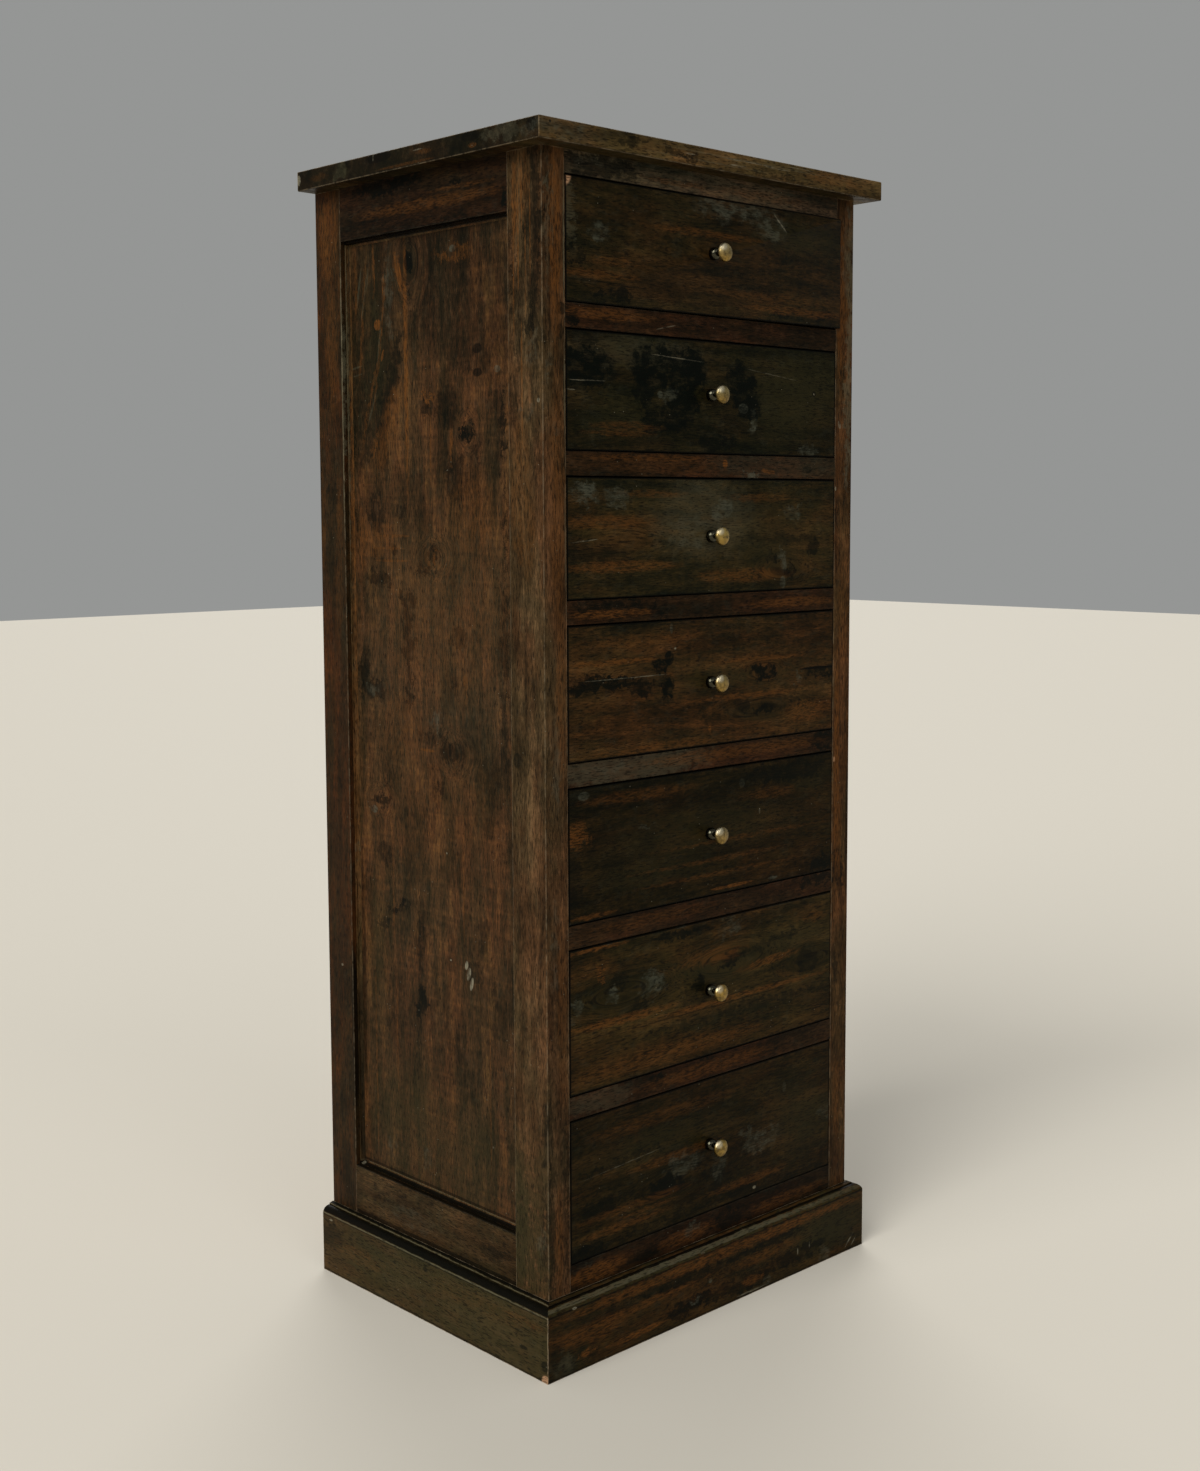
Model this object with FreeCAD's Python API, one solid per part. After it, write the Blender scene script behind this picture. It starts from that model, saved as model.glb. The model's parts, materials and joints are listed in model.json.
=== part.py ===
"""A tallboy: a narrow, floor-standing chest of seven drawers in dark hardwood.

Four corner posts stand on the floor. Side frames of two rails and a sunk panel join a front
post to a rear post on each side. A rail under the top, six dividers and a bottom rail join the
front posts, and between them run the drawers, on side runners, with guides and stops. A board
back closes the carcass, a thick plain top overhangs it, and a mitred plinth with a moulded top
edge goes round its foot. Each drawer is a dovetailed box with a loose bottom in grooves and one
turned brass knob, held by a screw from inside.

The drawers get deeper towards the floor. The top drawer sits askew in its opening, with its
right end out, as an old drawer does once its guides are worn.

Units are millimetres. +Z is up and the drawers face -Y. The origin is the middle of the
footprint of the whole object, knobs included, on the floor.
"""

import FreeCAD, Part
import math
import os

# Carcass
carcass_width = 532.0
carcass_depth = 423.0
front_post_width = 33.5
front_post_depth = 57.0
rear_post_width = 33.5
rear_post_depth = 52.0
rail_thickness = 22.0
side_top_rail_height = 64.0
side_bottom_rail_show = 62.0
rail_behind_plinth = 12.0

# Heights seen on the front, from the floor up
plinth_height = 87.5
bottom_rail_show = 31.5
drawer_opening_heights = [138.0, 134.0, 138.5, 156.0, 157.5, 171.5, 171.0]  # the top one first
divider_height = 27.5
top_rail_height = 26.0
top_thickness = 23.5
top_overhang = 25.0
top_arris = 1.2

# Plinth moulding
plinth_projection = 17.0
plinth_face_height = 77.0
ovolo_width = 9.6
ovolo_height = 7.6
ovolo_bulge = 2.1
quirk_width = 0.7
quirk_depth = 1.2
weathering_flat = 2.0

# Side panels and the mitred moulding planted round them
panel_recess = 11.0
panel_thickness = 7.0
panel_tongue = 8.0
panel_play = 1.5
groove_wall = 1.0
moulding_width = 6.0
moulding_drop = 6.5
moulding_fillet = 2.0
moulding_hollow = 1.3

# Joints of the carcass
side_tenon_length = 30.0
side_tenon_thickness = 9.0
tenon_shoulder = 6.0
front_tenon_length = 11.0
front_tenon_depth = 28.0
front_tenon_setback = 14.0
front_tenon_shoulder = 5.0
rear_tenon_thickness = 8.0
stub_tenon_length = 8.0
stub_tenon_thickness = 8.0

# Back
back_board_thickness = 8.0
back_board_count = 4
back_rebate_width = 10.0
back_tongue_length = 5.0
back_tongue_thickness = 2.6
rear_top_rail_height = 56.0

# Runners, kickers, guides, stops and glue blocks
runner_thickness = 22.0
runner_reach = 30.0
guide_height = 10.0
guide_play = 1.0
stop_width = 40.0
stop_depth = 12.0
stop_height = 5.0
stop_offset = 120.0
stop_gap = 0.3
block_leg = 18.0
block_length = 50.0
block_offset = 100.0
block_floor_gap = 3.0

# Drawers
drawer_back_space = 33.0
drawer_side_gap = 1.5
drawer_top_gap = 1.5
drawer_foot_gap = 1.0
runner_gap = 0.3
front_thickness = 20.0
side_thickness = 11.0
back_thickness = 10.0
bottom_thickness = 6.0
bottom_lift = 8.0
bottom_groove = 5.0
side_top_drop = 5.0
back_top_drop = 8.0
front_lap = 6.0
tail_spacing = 44.0
fewest_tails = 2
pin_width = 6.0
tail_slope = 7.0
top_drawer_skew = 8.0

# Knobs
knob_rise = [3.5, 3.0, 0.0, -0.5, -1.0, -3.0, 1.5]  # above the middle of each drawer's front
knob_foot_diameter = 16.0
knob_foot_edge = 1.5
knob_foot_height = 6.0
knob_neck_diameter = 8.0
knob_neck_length = 5.0
knob_cup_diameter = 13.0
knob_cup_height = 15.0
knob_head_diameter = 22.0
knob_head_back = 18.5
knob_rim = 2.5
knob_dome = 4.0
knob_dome_bands = 3
knob_flat_count = 32
knob_screw_diameter = 4.0
knob_screw_grip = 9.0
screw_head_diameter = 8.0
screw_head_height = 2.5
screw_flat_count = 12
screw_play = 0.1

# How far a cutting shape passes through what it cuts
cutter_overrun = 1.0

# Worked out from the sizes above
drawer_count = len(drawer_opening_heights)
half_width = carcass_width / 2
half_opening = half_width - front_post_width
half_rear_opening = half_width - rear_post_width
drawer_depth = carcass_depth - back_board_thickness - rail_thickness - drawer_back_space
front_half = half_opening - drawer_side_gap
side_inner = half_width - rail_thickness
dome_flat_share = 1 / (knob_dome_bands + 1)
knob_reach = knob_head_back + knob_rim + knob_dome * (1 - dome_flat_share ** 2)
skew_angle = math.asin(top_drawer_skew / (2 * front_half))
dome_flat_radius = knob_head_diameter / 2 * dome_flat_share
skewed_knob_reach = knob_reach * math.cos(skew_angle) + dome_flat_radius * math.sin(skew_angle)
foremost = max(top_drawer_skew / 2 + skewed_knob_reach, top_overhang)
front_y = (foremost - carcass_depth) / 2
back_y = front_y + carcass_depth
post_back_y = front_y + front_post_depth
rear_post_y = back_y - rear_post_depth
lowest_opening_z = plinth_height + bottom_rail_show
drawer_stack_height = sum(drawer_opening_heights) + (drawer_count - 1) * divider_height
top_z = lowest_opening_z + drawer_stack_height + top_rail_height
side_panel_low_z = plinth_height + side_bottom_rail_show
side_panel_high_z = top_z - side_top_rail_height
rail_low_z = plinth_height - rail_behind_plinth

Vector = FreeCAD.Vector
UP = Vector(0, 0, 1)
RIGHT = Vector(1, 0, 0)
BACK = Vector(0, 1, 0)


def board(x_low, x_high, y_low, y_high, z_low, z_high):
    """A square-cut board between two corners."""
    size = (x_high - x_low, y_high - y_low, z_high - z_low)
    return Part.makeBox(*size, Vector(x_low, y_low, z_low))


def other_side(shape):
    """The same piece made for the left side of the carcass."""
    return shape.mirror(Vector(0, 0, 0), RIGHT)


def both_sides(shape):
    """A piece of the right side together with its twin on the left."""
    return [shape, other_side(shape)]


def joined(pieces):
    """Several shapes made into one solid, with no seams left on flat faces."""
    return pieces[0].multiFuse(pieces[1:]).removeSplitter()


def prism(corners, run):
    """The solid that a flat polygon sweeps along a straight run."""
    return Part.Face(Part.makePolygon(corners + corners[:1])).extrude(run)


def bowed(start, end, bulge, towards):
    """An arc from start to end that stands off its chord by bulge in the given direction."""
    middle = (start + end) * 0.5 + towards * bulge
    return Part.Arc(start, middle, end).toShape()


def mitred_length(section, corner, along, across, width, tall, ends):
    """A moulded length cut off its section, with its ends mitred.

    The section is a face that starts at corner and reaches width in the direction across. Each of
    the two ends is 1 for an outside mitre, -1 for an inside mitre and 0 for a square cut. The
    mitre planes run through the whole of tall.
    """
    run = along.Length
    step = along * (1 / run)
    overrun = step * (width + cutter_overrun)
    blank = section.translated(overrun * -1).extrude(along + overrun * 2)
    outline = [
        corner,
        corner + along,
        corner + along + step * (ends[1] * width) + across * width,
        corner - step * (ends[0] * width) + across * width,
    ]
    return blank.common(prism(outline, tall))


def opening_floors():
    """The height of the wood that each drawer runs on, the top drawer first."""
    floors = []
    z = top_z - top_rail_height
    for height in drawer_opening_heights:
        floors.append(z - height)
        z -= height + divider_height
    return floors


def side_panel():
    """The right panel, let into grooves in the posts and rails."""
    face_x = half_width - panel_recess
    return board(
        face_x - panel_thickness,
        face_x,
        post_back_y - panel_tongue,
        rear_post_y + panel_tongue,
        side_panel_low_z - panel_tongue,
        side_panel_high_z + panel_tongue,
    )


def panel_groove():
    """The space of the right panel with the room it has to swell in its grooves."""
    face_x = half_width - panel_recess
    reach = panel_tongue + panel_play
    return board(
        face_x - panel_thickness,
        face_x,
        post_back_y - reach,
        rear_post_y + reach,
        side_panel_low_z - reach,
        side_panel_high_z + reach,
    )


def side_rail_tenons(z_low, z_high, shoulder_low, shoulder_high):
    """The two tenons of a right side rail, one into each post."""
    x_low = half_width - (rail_thickness + side_tenon_thickness) / 2
    x_high = x_low + side_tenon_thickness
    z_range = (z_low + shoulder_low, z_high - shoulder_high)
    return [
        board(x_low, x_high, post_back_y - side_tenon_length, post_back_y, *z_range),
        board(x_low, x_high, rear_post_y, rear_post_y + side_tenon_length, *z_range),
    ]


def side_rails():
    """The top and bottom rails of the right side frame, and all their tenons."""
    groove_side = panel_tongue + panel_play + groove_wall
    top_tenons = side_rail_tenons(side_panel_high_z, top_z, groove_side, tenon_shoulder)
    low_tenons = side_rail_tenons(rail_low_z, side_panel_low_z, tenon_shoulder, groove_side)
    x_range = (side_inner, half_width)
    top = board(*x_range, post_back_y, rear_post_y, side_panel_high_z, top_z)
    low = board(*x_range, post_back_y, rear_post_y, rail_low_z, side_panel_low_z)
    top = joined([top] + top_tenons).cut(panel_groove())
    low = joined([low] + low_tenons).cut(panel_groove())
    return top, low, top_tenons + low_tenons


def panel_moulding():
    """Four mitred lengths of moulding, planted on the right panel inside its frame."""
    tall = side_panel_high_z - side_panel_low_z
    deep = rear_post_y - post_back_y
    corners = {
        "low": (Vector(half_width, post_back_y, side_panel_low_z), BACK * deep, UP),
        "high": (Vector(half_width, rear_post_y, side_panel_high_z), BACK * -deep, UP * -1),
        "rear": (Vector(half_width, rear_post_y, side_panel_low_z), UP * tall, BACK * -1),
        "front": (Vector(half_width, post_back_y, side_panel_high_z), UP * -tall, BACK),
    }
    inward = RIGHT * -1
    lengths = []
    for corner, along, across in corners.values():
        edge = corner + inward * moulding_drop
        fillet = edge + across * moulding_fillet
        toe = corner + inward * panel_recess + across * moulding_width
        heel = corner + inward * panel_recess
        hollow = bowed(fillet, toe, moulding_hollow, (inward - across).normalize())
        section = Part.Face(Part.Wire([
            Part.makeLine(edge, fillet),
            hollow,
            Part.makeLine(toe, heel),
            Part.makeLine(heel, edge),
        ]))
        cut_to = inward * (panel_recess + cutter_overrun)
        lengths.append(mitred_length(section, corner, along, across, moulding_width, cut_to, (-1, -1)))
    return lengths


def front_rail(z_low, z_high):
    """A rail or divider across the front, with a tenon at each end."""
    y_tenon = front_y + front_tenon_setback
    x_tenon = half_opening + front_tenon_length
    tenon = board(
        -x_tenon,
        x_tenon,
        y_tenon,
        y_tenon + front_tenon_depth,
        z_low + front_tenon_shoulder,
        z_high - front_tenon_shoulder,
    )
    body = board(-half_opening, half_opening, front_y, post_back_y, z_low, z_high)
    return joined([body, tenon])


def rear_rail(z_low, z_high):
    """A rail between the rear posts, in front of the back boards."""
    y_back = back_y - back_board_thickness
    y_tenon = y_back - (rail_thickness + rear_tenon_thickness) / 2
    x_tenon = half_rear_opening + front_tenon_length
    tenon = board(
        -x_tenon,
        x_tenon,
        y_tenon,
        y_tenon + rear_tenon_thickness,
        z_low + tenon_shoulder,
        z_high - tenon_shoulder,
    )
    body = board(-half_rear_opening, half_rear_opening, y_back - rail_thickness, y_back, z_low, z_high)
    return joined([body, tenon])


def runner(z_top):
    """The right runner of one drawer, stub-tenoned into the front rail and let into the rear post."""
    x_low = half_opening - runner_reach
    z_low = z_top - runner_thickness
    z_middle = (z_low + z_top) / 2
    body = board(x_low, side_inner, post_back_y, rear_post_y, z_low, z_top)
    stub = board(
        x_low,
        half_opening,
        post_back_y - stub_tenon_length,
        post_back_y,
        z_middle - stub_tenon_thickness / 2,
        z_middle + stub_tenon_thickness / 2,
    )
    housed = board(half_rear_opening, side_inner, rear_post_y, rear_post_y + stub_tenon_length, z_low, z_top)
    return joined([body, stub, housed])


def guide(z_floor, skewed):
    """The strip on the right runner that keeps a drawer in line, thinned beside a skewed drawer."""
    swing = drawer_depth * math.sin(skew_angle) if skewed else 0.0
    x_low = front_half + guide_play + swing
    return board(x_low, side_inner, post_back_y, rear_post_y, z_floor, z_floor + guide_height)


def stop(z_floor):
    """The right one of the two blocks that a shut drawer's front comes up against."""
    y_low = front_y + front_thickness + stop_gap
    x_low = stop_offset - stop_width / 2
    return board(x_low, x_low + stop_width, y_low, y_low + stop_depth, z_floor, z_floor + stop_height)


def glue_blocks():
    """Three-cornered blocks that hold the top to its rails and the plinth to the posts."""
    blocks = []
    rear_rail_y = back_y - back_board_thickness - rail_thickness
    for wall_y, away in ((post_back_y, 1), (rear_rail_y, -1)):
        corner = Vector(block_offset - block_length / 2, wall_y, top_z)
        legs = [corner, corner + BACK * (away * block_leg), corner - UP * block_leg]
        blocks += both_sides(prism(legs, RIGHT * block_length))
    tall = UP * (rail_low_z - block_floor_gap)
    meetings = (
        (half_opening, front_y, -1, 1),
        (half_width, post_back_y, -1, 1),
        (half_width, rear_post_y, -1, -1),
    )
    for x, y, x_way, y_way in meetings:
        corner = Vector(x, y, block_floor_gap)
        legs = [corner, corner + RIGHT * (x_way * block_leg), corner + BACK * (y_way * block_leg)]
        blocks += both_sides(prism(legs, tall))
    return blocks


def back_boards():
    """Upright boards, tongued and grooved together, in the rebates of the rear posts."""
    whole = 2 * (half_rear_opening + back_rebate_width)
    width = whole / back_board_count
    y_low = back_y - back_board_thickness
    y_tongue = y_low + (back_board_thickness - back_tongue_thickness) / 2
    boards = []
    for index in range(back_board_count):
        x_low = -whole / 2 + index * width
        piece = board(x_low, x_low + width, y_low, back_y, rail_low_z, top_z)
        tongue = board(0, back_tongue_length, y_tongue, y_tongue + back_tongue_thickness, rail_low_z, top_z)
        if index > 0:
            piece = piece.cut(tongue.translated(RIGHT * x_low))
        if index < back_board_count - 1:
            piece = joined([piece, tongue.translated(RIGHT * (x_low + width))])
        boards.append(piece)
    return boards


def top_board():
    """The top, which overhangs the front and the sides and is flush with the back."""
    x_edge = half_width + top_overhang
    slab = board(-x_edge, x_edge, front_y - top_overhang, back_y, top_z, top_z + top_thickness)
    shown = [edge for edge in slab.Edges if edge.BoundBox.YMin < back_y - top_arris]
    return slab.makeChamfer(top_arris, shown)


def plinth_section(corner, outward):
    """The plinth's section: a plain face, an ovolo, a quirk and a weathered top edge."""
    def at(out, height):
        return corner + outward * out + UP * height

    ovolo_foot = at(plinth_projection, plinth_face_height)
    ovolo_out = plinth_projection - ovolo_width
    ovolo_top_height = plinth_face_height + ovolo_height
    ovolo_top = at(ovolo_out, ovolo_top_height)
    quirk = at(ovolo_out - quirk_width, ovolo_top_height - quirk_depth)
    lip = at(ovolo_out - quirk_width, (ovolo_top_height + plinth_height) / 2)
    flat = at(weathering_flat, plinth_height)
    away = (outward * ovolo_height + UP * ovolo_width).normalize()
    return Part.Face(Part.Wire([
        Part.makeLine(corner, at(plinth_projection, 0)),
        Part.makeLine(at(plinth_projection, 0), ovolo_foot),
        bowed(ovolo_foot, ovolo_top, ovolo_bulge, away),
        Part.makeLine(ovolo_top, quirk),
        Part.makeLine(quirk, lip),
        Part.makeLine(lip, flat),
        Part.makeLine(flat, at(0, plinth_height)),
        Part.makeLine(at(0, plinth_height), corner),
    ]))


def plinth():
    """The front board of the plinth, mitred at both ends, and the right return."""
    tall = UP * (plinth_height + cutter_overrun)
    corner = Vector(-half_width, front_y, 0)
    forward = BACK * -1
    section = plinth_section(corner, forward)
    front = mitred_length(section, corner, RIGHT * carcass_width, forward, plinth_projection, tall, (1, 1))
    corner = Vector(half_width, front_y, 0)
    section = plinth_section(corner, RIGHT)
    right = mitred_length(section, corner, BACK * carcass_depth, RIGHT, plinth_projection, tall, (1, 0))
    return front, right


def dovetails(y_narrow, y_wide, z_low, z_high):
    """The tails on one end of the right side of a drawer, wider where they end."""
    count = max(fewest_tails, round((z_high - z_low) / tail_spacing))
    pitch = (z_high - z_low) / count
    splay = abs(y_wide - y_narrow) / tail_slope
    half_wide = (pitch - pin_width) / 2
    x_inner = front_half - side_thickness
    tails = []
    for index in range(count):
        z = z_low + (index + 0.5) * pitch
        corners = [
            Vector(x_inner, y_narrow, z - half_wide + splay),
            Vector(x_inner, y_wide, z - half_wide),
            Vector(x_inner, y_wide, z + half_wide),
            Vector(x_inner, y_narrow, z + half_wide - splay),
        ]
        tails.append(prism(corners, RIGHT * side_thickness))
    return tails


def turned(profile, flats, z):
    """A solid turned about a line out of a drawer's front at height z.

    The profile is a list of (radius, distance out of the front) pairs. Flats stand in for the
    round, so that these small pieces have light meshes.
    """
    rings = []
    for radius, out in profile:
        turns = [2 * math.pi * index / flats for index in range(flats + 1)]
        rings.append([Vector(radius * math.cos(t), front_y - out, z + radius * math.sin(t)) for t in turns])
    faces = [Part.Face(Part.makePolygon(rings[0][::-1])), Part.Face(Part.makePolygon(rings[-1]))]
    for low, high in zip(rings, rings[1:]):
        for index in range(flats):
            corners = [low[index], low[index + 1], high[index + 1], high[index]]
            faces.append(Part.Face(Part.makePolygon(corners + corners[:1])))
    return Part.makeSolid(Part.makeShell(faces))


def knob(z):
    """A turned knob with a domed head, and the screw that holds it from inside the drawer."""
    screw = knob_screw_diameter / 2
    tapping = screw + screw_play
    foot = knob_foot_diameter / 2
    neck = knob_neck_diameter / 2
    rim = knob_head_diameter / 2
    profile = [
        (tapping, knob_screw_grip + screw_play),
        (tapping, 0),
        (foot, 0),
        (foot, knob_foot_edge),
        (neck, knob_foot_height),
        (neck, knob_foot_height + knob_neck_length),
        (knob_cup_diameter / 2, knob_cup_height),
        (rim, knob_head_back),
    ]
    for band in range(knob_dome_bands + 1):
        share = 1 - band / (knob_dome_bands + 1)
        profile.append((rim * share, knob_reach - knob_dome * (share ** 2 - dome_flat_share ** 2)))
    head = screw_head_diameter / 2
    screw_profile = [
        (head, -front_thickness - screw_head_height),
        (head, -front_thickness),
        (screw, -front_thickness),
        (screw, knob_screw_grip),
    ]
    return turned(profile, knob_flat_count, z), turned(screw_profile, screw_flat_count, z)


def drawer(z_floor, opening_height, rise, skewed):
    """One drawer's pieces, by name: front, sides, back, bottom and knob."""
    z_side = z_floor + runner_gap
    z_front_top = z_floor + opening_height - drawer_top_gap
    z_side_top = z_floor + opening_height - side_top_drop
    z_back_top = z_side_top - back_top_drop
    z_bottom = z_side + bottom_lift
    z_bottom_top = z_bottom + bottom_thickness
    y_front_back = front_y + front_thickness
    y_end = front_y + drawer_depth
    x_side = front_half - side_thickness
    x_bottom = x_side + bottom_groove
    z_knob = z_floor + (drawer_foot_gap + opening_height - drawer_top_gap) / 2 + rise

    bottom = board(-x_bottom, x_bottom, y_front_back - bottom_groove, y_end, z_bottom, z_bottom_top)
    front_tails = dovetails(y_front_back, front_y + front_lap, z_floor + drawer_foot_gap, z_side_top)
    back_tails = dovetails(y_end - back_thickness, y_end, z_bottom_top, z_back_top)
    front = board(-front_half, front_half, front_y, y_front_back, z_floor + drawer_foot_gap, z_front_top)
    back = board(-front_half, front_half, y_end - back_thickness, y_end, z_bottom_top, z_back_top)
    for tail in front_tails:
        front = front.cut(both_sides(tail))
    for tail in back_tails:
        back = back.cut(both_sides(tail))
    side = board(x_side, front_half, y_front_back, y_end, z_side, z_side_top)
    side = joined([side] + front_tails).cut([back, bottom])
    turned, screw = knob(z_knob)
    hole = Part.makeCylinder(
        knob_screw_diameter / 2 + screw_play,
        front_thickness,
        Vector(0, front_y, z_knob),
        BACK,
    )
    pieces = {
        "front": [front.cut([bottom, hole])],
        "sides": both_sides(side),
        "back": [back],
        "bottom": [bottom],
        "knob": [turned, screw],
    }
    if skewed:
        pivot = Vector(-front_half, front_y, 0)
        for group in pieces.values():
            for solid in group:
                solid.rotate(pivot, UP, -math.degrees(skew_angle))
    return pieces


def carcass():
    """Every fixed piece of the tallboy, by name."""
    floors = opening_floors()
    top_rail_z = top_z - top_rail_height
    dividers = [front_rail(z - divider_height, z) for z in floors[:-1]]
    front_top_rail = front_rail(top_rail_z, top_z)
    front_bottom_rail = front_rail(rail_low_z, floors[-1])
    rear_rails = [
        rear_rail(top_z - rear_top_rail_height, top_z),
        rear_rail(rail_low_z, side_panel_low_z),
    ]
    side_top_rail, side_bottom_rail, side_tenons = side_rails()
    runners = []
    for z in floors + [top_z]:
        runners += both_sides(runner(z))
    guides = []
    stops = []
    for index, z in enumerate(floors):
        guides += both_sides(guide(z, index == 0))
        stops += both_sides(stop(z))
    front_rails = [front_top_rail, front_bottom_rail] + dividers

    front_post = board(half_opening, half_width, front_y, post_back_y, 0, top_z)
    front_post = front_post.cut([panel_groove()] + side_tenons + front_rails)
    rear_post = board(half_rear_opening, half_width, rear_post_y, back_y, 0, top_z)
    boards = back_boards()
    rebate = board(
        half_rear_opening,
        half_rear_opening + back_rebate_width,
        back_y - back_board_thickness,
        back_y,
        rail_low_z,
        top_z,
    )
    rear_post = rear_post.cut([panel_groove(), rebate] + side_tenons + rear_rails + runners)
    plinth_front, plinth_right = plinth()
    moulding = panel_moulding()
    return {
        "top_board": [top_board()],
        "front_post_left": [other_side(front_post)],
        "front_post_right": [front_post],
        "rear_post_left": [other_side(rear_post)],
        "rear_post_right": [rear_post],
        "side_top_rail_left": [other_side(side_top_rail)],
        "side_top_rail_right": [side_top_rail],
        "side_bottom_rail_left": [other_side(side_bottom_rail)],
        "side_bottom_rail_right": [side_bottom_rail],
        "side_panel_left": [other_side(side_panel())],
        "side_panel_right": [side_panel()],
        "panel_moulding_left": [other_side(length) for length in moulding],
        "panel_moulding_right": moulding,
        "front_top_rail": [front_top_rail.cut(runners)],
        "drawer_dividers": [rail.cut(runners) for rail in dividers],
        "front_bottom_rail": [front_bottom_rail.cut(runners)],
        "rear_rails": rear_rails,
        "runners_and_kickers": runners,
        "drawer_guides": guides,
        "drawer_stops": stops,
        "glue_blocks": glue_blocks(),
        "back_boards": boards,
        "plinth_front": [plinth_front],
        "plinth_left": [other_side(plinth_right)],
        "plinth_right": [plinth_right],
    }


def drawers():
    """Every drawer's pieces, by name, numbered from the top down."""
    named = {}
    rows = zip(opening_floors(), drawer_opening_heights, knob_rise)
    for index, (z_floor, height, rise) in enumerate(rows):
        for name, solids in drawer(z_floor, height, rise, index == 0).items():
            named[f"drawer_{index + 1}_{name}"] = solids
    return named


def write(named):
    """Write each named group of solids to its own file, and print what it holds."""
    os.makedirs("parts", exist_ok=True)
    for name, shapes in named.items():
        solids = [solid for shape in shapes for solid in shape.Solids]
        if len(solids) != len(shapes):
            raise ValueError(f"{name}: {len(shapes)} pieces came out as {len(solids)} solids")
        whole = solids[0] if len(solids) == 1 else Part.makeCompound(solids)
        whole.exportStep(os.path.join("parts", name + ".step"))
        print(f"{name}: {len(solids)} solids, {sum(s.Volume for s in solids) / 1e6:.4f} litres")


write(carcass() | drawers())
print(f"overall height {top_z + top_thickness:.1f} mm, front face at y {front_y:.3f}")
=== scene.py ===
"""The looks of the tallboy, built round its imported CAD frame.

Visible boards become worn copies of their CAD solids, with rubbed arrises. Mouldings, the top and
the knobs are made anew in finer steps. Hidden boards keep their CAD solids and get a finish. Every
finish is worked out from the place of a point in the row frame, in metres, so that stains, bloom
and scratches sit where the photographed chest has them.
"""

import json
import logging
import math
from collections.abc import Iterable, Mapping, Sequence
from dataclasses import dataclass
from enum import Enum
from functools import reduce
from operator import add

import bmesh
import bpy
from mathutils import Matrix, Vector


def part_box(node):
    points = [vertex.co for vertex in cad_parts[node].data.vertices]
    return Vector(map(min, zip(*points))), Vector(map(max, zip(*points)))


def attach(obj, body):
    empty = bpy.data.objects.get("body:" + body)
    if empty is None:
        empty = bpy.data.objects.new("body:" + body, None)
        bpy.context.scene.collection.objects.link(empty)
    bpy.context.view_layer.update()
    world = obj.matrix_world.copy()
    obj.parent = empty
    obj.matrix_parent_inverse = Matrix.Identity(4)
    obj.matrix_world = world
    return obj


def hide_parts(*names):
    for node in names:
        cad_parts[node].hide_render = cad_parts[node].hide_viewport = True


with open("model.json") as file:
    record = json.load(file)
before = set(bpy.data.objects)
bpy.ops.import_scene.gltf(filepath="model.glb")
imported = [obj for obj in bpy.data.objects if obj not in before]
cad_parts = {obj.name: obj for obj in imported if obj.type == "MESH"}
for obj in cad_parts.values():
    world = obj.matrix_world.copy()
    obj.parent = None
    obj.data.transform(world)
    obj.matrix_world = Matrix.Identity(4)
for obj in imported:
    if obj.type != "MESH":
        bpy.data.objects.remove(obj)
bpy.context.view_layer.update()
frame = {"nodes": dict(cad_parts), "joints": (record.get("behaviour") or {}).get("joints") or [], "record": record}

LOG = logging.getLogger("tallboy")
MM = 0.001
DRAWER_COUNT = 7

Triple = tuple[float, float, float]
Point = tuple[float, float]
Colour = tuple[float, float, float, float]
Mesh = bmesh.types.BMesh
Material = bpy.types.Material

# Points nearer than WELD are one. Faces that turn less than FLAT are one, and edges that turn more
# than SQUARE are arrises. A face looks a given way where the cosine between the two is over FACING.
WELD = 2e-6
FLAT = math.radians(0.4)
SQUARE = math.radians(75)
FACING = 0.999

# The middle of the top drawer's skewed front lies less than this behind its foremost point, in metres.
SKEW_ROOM = 9 * MM

# The posts' front and side faces lie this far from the middle of the row frame, in millimetres.
FRONT_FACE = 198
SIDE_FACE = 266

# Marks up to these half sizes, in millimetres, keep their own outline.
SMALL_MARK = 10
THIN_MARK = 2.5

FRONT = Vector((0, -1, 0))
BACK = Vector((0, 1, 0))
LEFT = Vector((-1, 0, 0))
RIGHT = Vector((1, 0, 0))
UP = Vector((0, 0, 1))


def paint(red: int, green: int, blue: int) -> Colour:
    """Turn a screen colour into the linear colour that a shader takes.

    Args:
        red: Red, from 0 to 255.
        green: Green, from 0 to 255.
        blue: Blue, from 0 to 255.

    Returns:
        The linear colour with full alpha.
    """
    linear = []
    for level in (red, green, blue):
        share = level / 255
        linear.append(share / 12.92 if share <= 0.04045 else ((share + 0.055) / 1.055) ** 2.4)
    return (*linear, 1.0)


class Run(Enum):
    """The axis that a board's grain runs along."""

    ACROSS = 0
    DEEP = 1
    UPRIGHT = 2

    def stretch(self, along: float, across: float) -> Triple:
        """Give a scale for each axis, one along the grain and another across it."""
        return tuple(along if axis == self.value else across for axis in range(3))


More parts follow.
